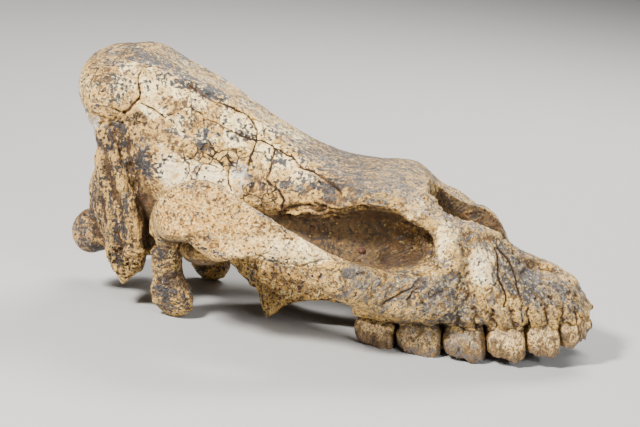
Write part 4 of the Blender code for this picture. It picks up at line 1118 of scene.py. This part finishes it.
def cutting_edge(share, x, length, tip, rise, outer):
    """Height of the crown's edge: it hangs lowest at its peak and climbs to both ends."""
    size = length / WHOLE
    peak = max(-0.2, PEAK - 1.9 * max(0, 1 - size) ** 2)
    edge = tip + rise * np.clip((peak - share) / SPAN_BEHIND, 0, 1) ** 1.1
    edge = edge + 0.32 * rise / size**2 * np.clip((share - peak) / SPAN_AHEAD, 0, 1) ** 1.7
    edge = edge + size * (0.7 * np.cos(share * 23 + x) + 0.5 * np.cos(share * 51 + 2 * x))
    edge = edge + 2.5 * (1 - outer) + 1.5 - 1.5 * size * hump(share, peak, 0.12)
    return edge - 1.2 * size * hump(share, -0.24, 0.08)


def walls(x, length, width, tip, rise, neck):
    """Rings from the root down to the cutting edge, each of u, v, z, wear, root and dentine."""
    angles = np.linspace(0, 2 * math.pi, AROUND, endpoint=False)
    c, s = np.cos(angles), np.sin(angles)
    u0 = np.sign(c) * np.abs(c) ** SQUARE_LONG * length / 2
    v0 = np.sign(s) * np.abs(s) ** SQUARE_WIDE * width / 2
    share = u0 / length
    outer = np.clip(v0 / width * 2, 0, 1)
    wall = sum(height * hump(share, middle, reach) for height, middle, reach in WALL_FOLDS)
    inner_cleft = -CLEFT * hump(share, 0.02, 0.06) * (1 - outer)
    edge = cutting_edge(share, x, length, tip, rise, outer)
    rings = []
    for height, swell in WALL:
        z = edge + (neck - edge) * min(height, 1) + ROOT_TOP * max(height - 1, 0) / 0.3
        fade = np.clip(1.25 - abs(height - 0.40), 0, 1)
        fork = -FORK * hump(share, -0.02, 0.10) * np.clip(height - 0.6, 0, 0.5) * 2
        lingual = np.where(v0 < 0, 1 - 0.16 * (1 - np.clip(height, 0, 1)), 1)
        u = u0 * (0.25 + 0.75 * min(swell, 1))
        v = v0 * swell * lingual + (wall * fade + fork) * outer + inner_cleft * fade
        v -= ROOT_LEAN * max(height - 0.85, 0) / 0.45
        wear, root = 1 - min(height * 1.8, 1), float(np.clip(height * 2.4 - 1.5, 0, 1))
        rings.append((u, v, z, np.full(AROUND, wear), np.full(AROUND, root), np.zeros(AROUND)))
    return rings


def worn_face(u1, v1, z1, length, width):
    """Rings inwards from the cutting edge: an enamel rim, basins of dentine and two deep valleys."""
    rim = 1 - ENAMEL / (min(length, width) / 2)
    rings = []
    for r in (0.985, rim + 0.02, rim - 0.03, *np.linspace(rim - 0.08, 0.06, 13)):
        u, v = u1 * r, v1 * r
        basin = BASIN * (1 - hump(r, 1, 0.10))
        across, deep = u / length, v / width
        valley = VALLEY * hump(across, 0.03 + 0.2 * deep, 0.055) / (1 + np.exp((deep - 0.12) * 30))
        valley = valley + PIT * hump(across, -0.29, 0.07) * hump(deep, -0.05, 0.13)
        z = z1 * r + z1.mean() * (1 - r) + basin * 0.6 + valley * min(1, (1 - r) * 9) + 1.5 * (1 - r)
        dentine = np.full(AROUND, float(r < rim)) * (valley < 2.5)
        rings.append((u, v, z, np.full(AROUND, 1.0), np.zeros(AROUND), dentine))
    return rings


def tooth(name, x, y, length, width, tip, rise, turn, side):
    neck = gum_height(x / 1000, 0) * 1000 + NECK
    seed = Vector((x * 0.37, side * 9.0, 4.0))
    rings = walls(x, length, width, tip, rise, neck)
    table = np.array(rings + worn_face(*rings[-1][:3], length, width))
    grain = 3  # each band between two rings is drawn with that many steps
    levels = np.linspace(0, len(table) - 1, (len(table) - 1) * grain + 1)
    bands = range(len(table))
    drawn = [[np.interp(levels, bands, point) for point in value.T] for value in table.transpose(1, 0, 2)]
    table = np.array(drawn).transpose(2, 0, 1)
    body = table[:, :3].transpose(0, 2, 1).reshape(-1, 3)
    middle = np.array((0, 0, (neck + tip) / 2))
    away = body - middle
    away /= np.linalg.norm(away, axis=1, keepdims=True)
    bumps = [noise.fractal(Vector(p) / 7 + seed, 1.0, 2.0, 3) for p in body.tolist()]
    grit = [noise.fractal(Vector(p) / 2.2 + seed, 1.0, 2.0, 2) for p in body.tolist()]
    body += away * (0.55 * np.array(bumps) + 0.22 * np.array(grit))[:, None]
    spin = Matrix.Rotation(math.radians(-turn), 3, "Z")
    body = body @ np.array(spin).T + (x, y, 0)
    bm = bmesh.new()
    verts = [bm.verts.new(AT_REST @ Vector(p)) for p in (body * (1, side, 1) / 1000).tolist()]
    rings = [verts[i : i + AROUND] for i in range(0, len(verts), AROUND)]
    for first, second in zip(rings, rings[1:]):
        for i in range(AROUND):
            bm.faces.new((first[i - 1], first[i], second[i], second[i - 1]))
    for ring in (rings[0], rings[-1]):
        middle = bm.verts.new(sum((v.co for v in ring), Vector()) / AROUND)
        for i in range(AROUND):
            bm.faces.new((ring[i - 1], ring[i], middle))
    for v in bm.verts:
        v.co.z = max(v.co.z, 0.0)
    bmesh.ops.recalc_face_normals(bm, faces=bm.faces)
    obj = new_object(f"{name}_{'left' if side > 0 else 'right'}", bm)
    obj.data.shade_smooth()
    for k, mark in enumerate(("wear", "root", "dentine")):
        values = np.append(table[:, 3 + k].reshape(-1), (1.0 - k / 2, 0.0))
        obj.data.attributes.new(mark, "FLOAT", "POINT").data.foreach_set("value", values)
    obj.data.materials.append(ENAMEL_OF.get(name, OLD_ENAMEL))
    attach(obj, "root")


LOST = ("premolar_1", 1)  # the small one of the left side has dropped out of its socket

for row in TEETH:
    for side in (1, -1):
        if (row[0], side) != LOST:
            tooth(*row, side)

# ---------------- the floor it lies on
# A plain pale board, wide enough for its edges to stay out of view.
FLOOR_REACH = 4.0
bm = bmesh.new()
bmesh.ops.create_grid(bm, x_segments=1, y_segments=1, size=FLOOR_REACH)
floor = new_object("floor", bm)
floor_paint, pen, shader = finish("floor_paint")
shader.inputs["Base Color"].default_value = (0.40, 0.396, 0.385, 1)
shader.inputs["Roughness"].default_value = 0.8
floor.data.materials.append(floor_paint)

# ---------------- light and camera
# A large soft box high on the camera's left, a cooler one low on its right, a strip behind for
# the edges and a dim even sky. The camera looks down a little on the skull's right side.
VIEW_TURN = math.radians(12.5)  # round from the skull's right side towards its snout
VIEW_DROP = math.radians(12.5)
VIEW_DISTANCE = 2.4
FIELD_WIDTH = 0.6976  # of the picture, at the skull
AIM = Vector((0.0, 0.0, 0.147))
RIGHTWARDS = Vector((0.97742, 0.20606, -0.04679))
UPWARDS = Vector((0.0, 0.22144, 0.97517))


LIT_SPOT = Vector((0, 0, 0.1))  # what the soft boxes point at


def soft_box(name, place, size, power, colour):
    light = bpy.data.lights.new(name, "AREA")
    light.shape = "RECTANGLE"
    light.size, light.size_y = size
    light.energy = power
    light.color = colour
    obj = bpy.data.objects.new(name, light)
    obj.location = place
    obj.rotation_euler = (Vector(place) - LIT_SPOT).to_track_quat("Z", "Y").to_euler()
    bpy.context.scene.collection.objects.link(obj)


soft_box("key_light", (-1.0, -1.5, 1.8), (0.40, 0.40), 190, (1.0, 0.97, 0.93))
soft_box("fill_light", (1.6, -1.7, 1.0), (0.6, 0.6), 52, (0.95, 0.97, 1.0))
soft_box("rim_light", (0.3, 1.5, 1.6), (1.0, 0.6), 80, (1.0, 0.98, 0.95))
sky = bpy.data.worlds.new("sky")
sky.use_nodes = True
sky.node_tree.nodes["Background"].inputs["Color"].default_value = (0.9, 0.92, 0.95, 1)
sky.node_tree.nodes["Background"].inputs["Strength"].default_value = 0.17
bpy.context.scene.world = sky

across, ahead = math.sin(VIEW_TURN) * math.cos(VIEW_DROP), math.cos(VIEW_TURN) * math.cos(VIEW_DROP)
view = Vector((across, -ahead, math.sin(VIEW_DROP)))
lens = bpy.data.cameras.new("camera")
lens.sensor_width = 36
lens.lens = lens.sensor_width * VIEW_DISTANCE / FIELD_WIDTH
lens.shift_x = -0.0203
lens.shift_y = -0.0055
camera = bpy.data.objects.new("camera", lens)
stand = Matrix((RIGHTWARDS, UPWARDS, view)).transposed().to_4x4()
stand.translation = AIM + view * VIEW_DISTANCE
camera.matrix_world = AT_REST @ stand
bpy.context.scene.collection.objects.link(camera)
bpy.context.scene.camera = camera
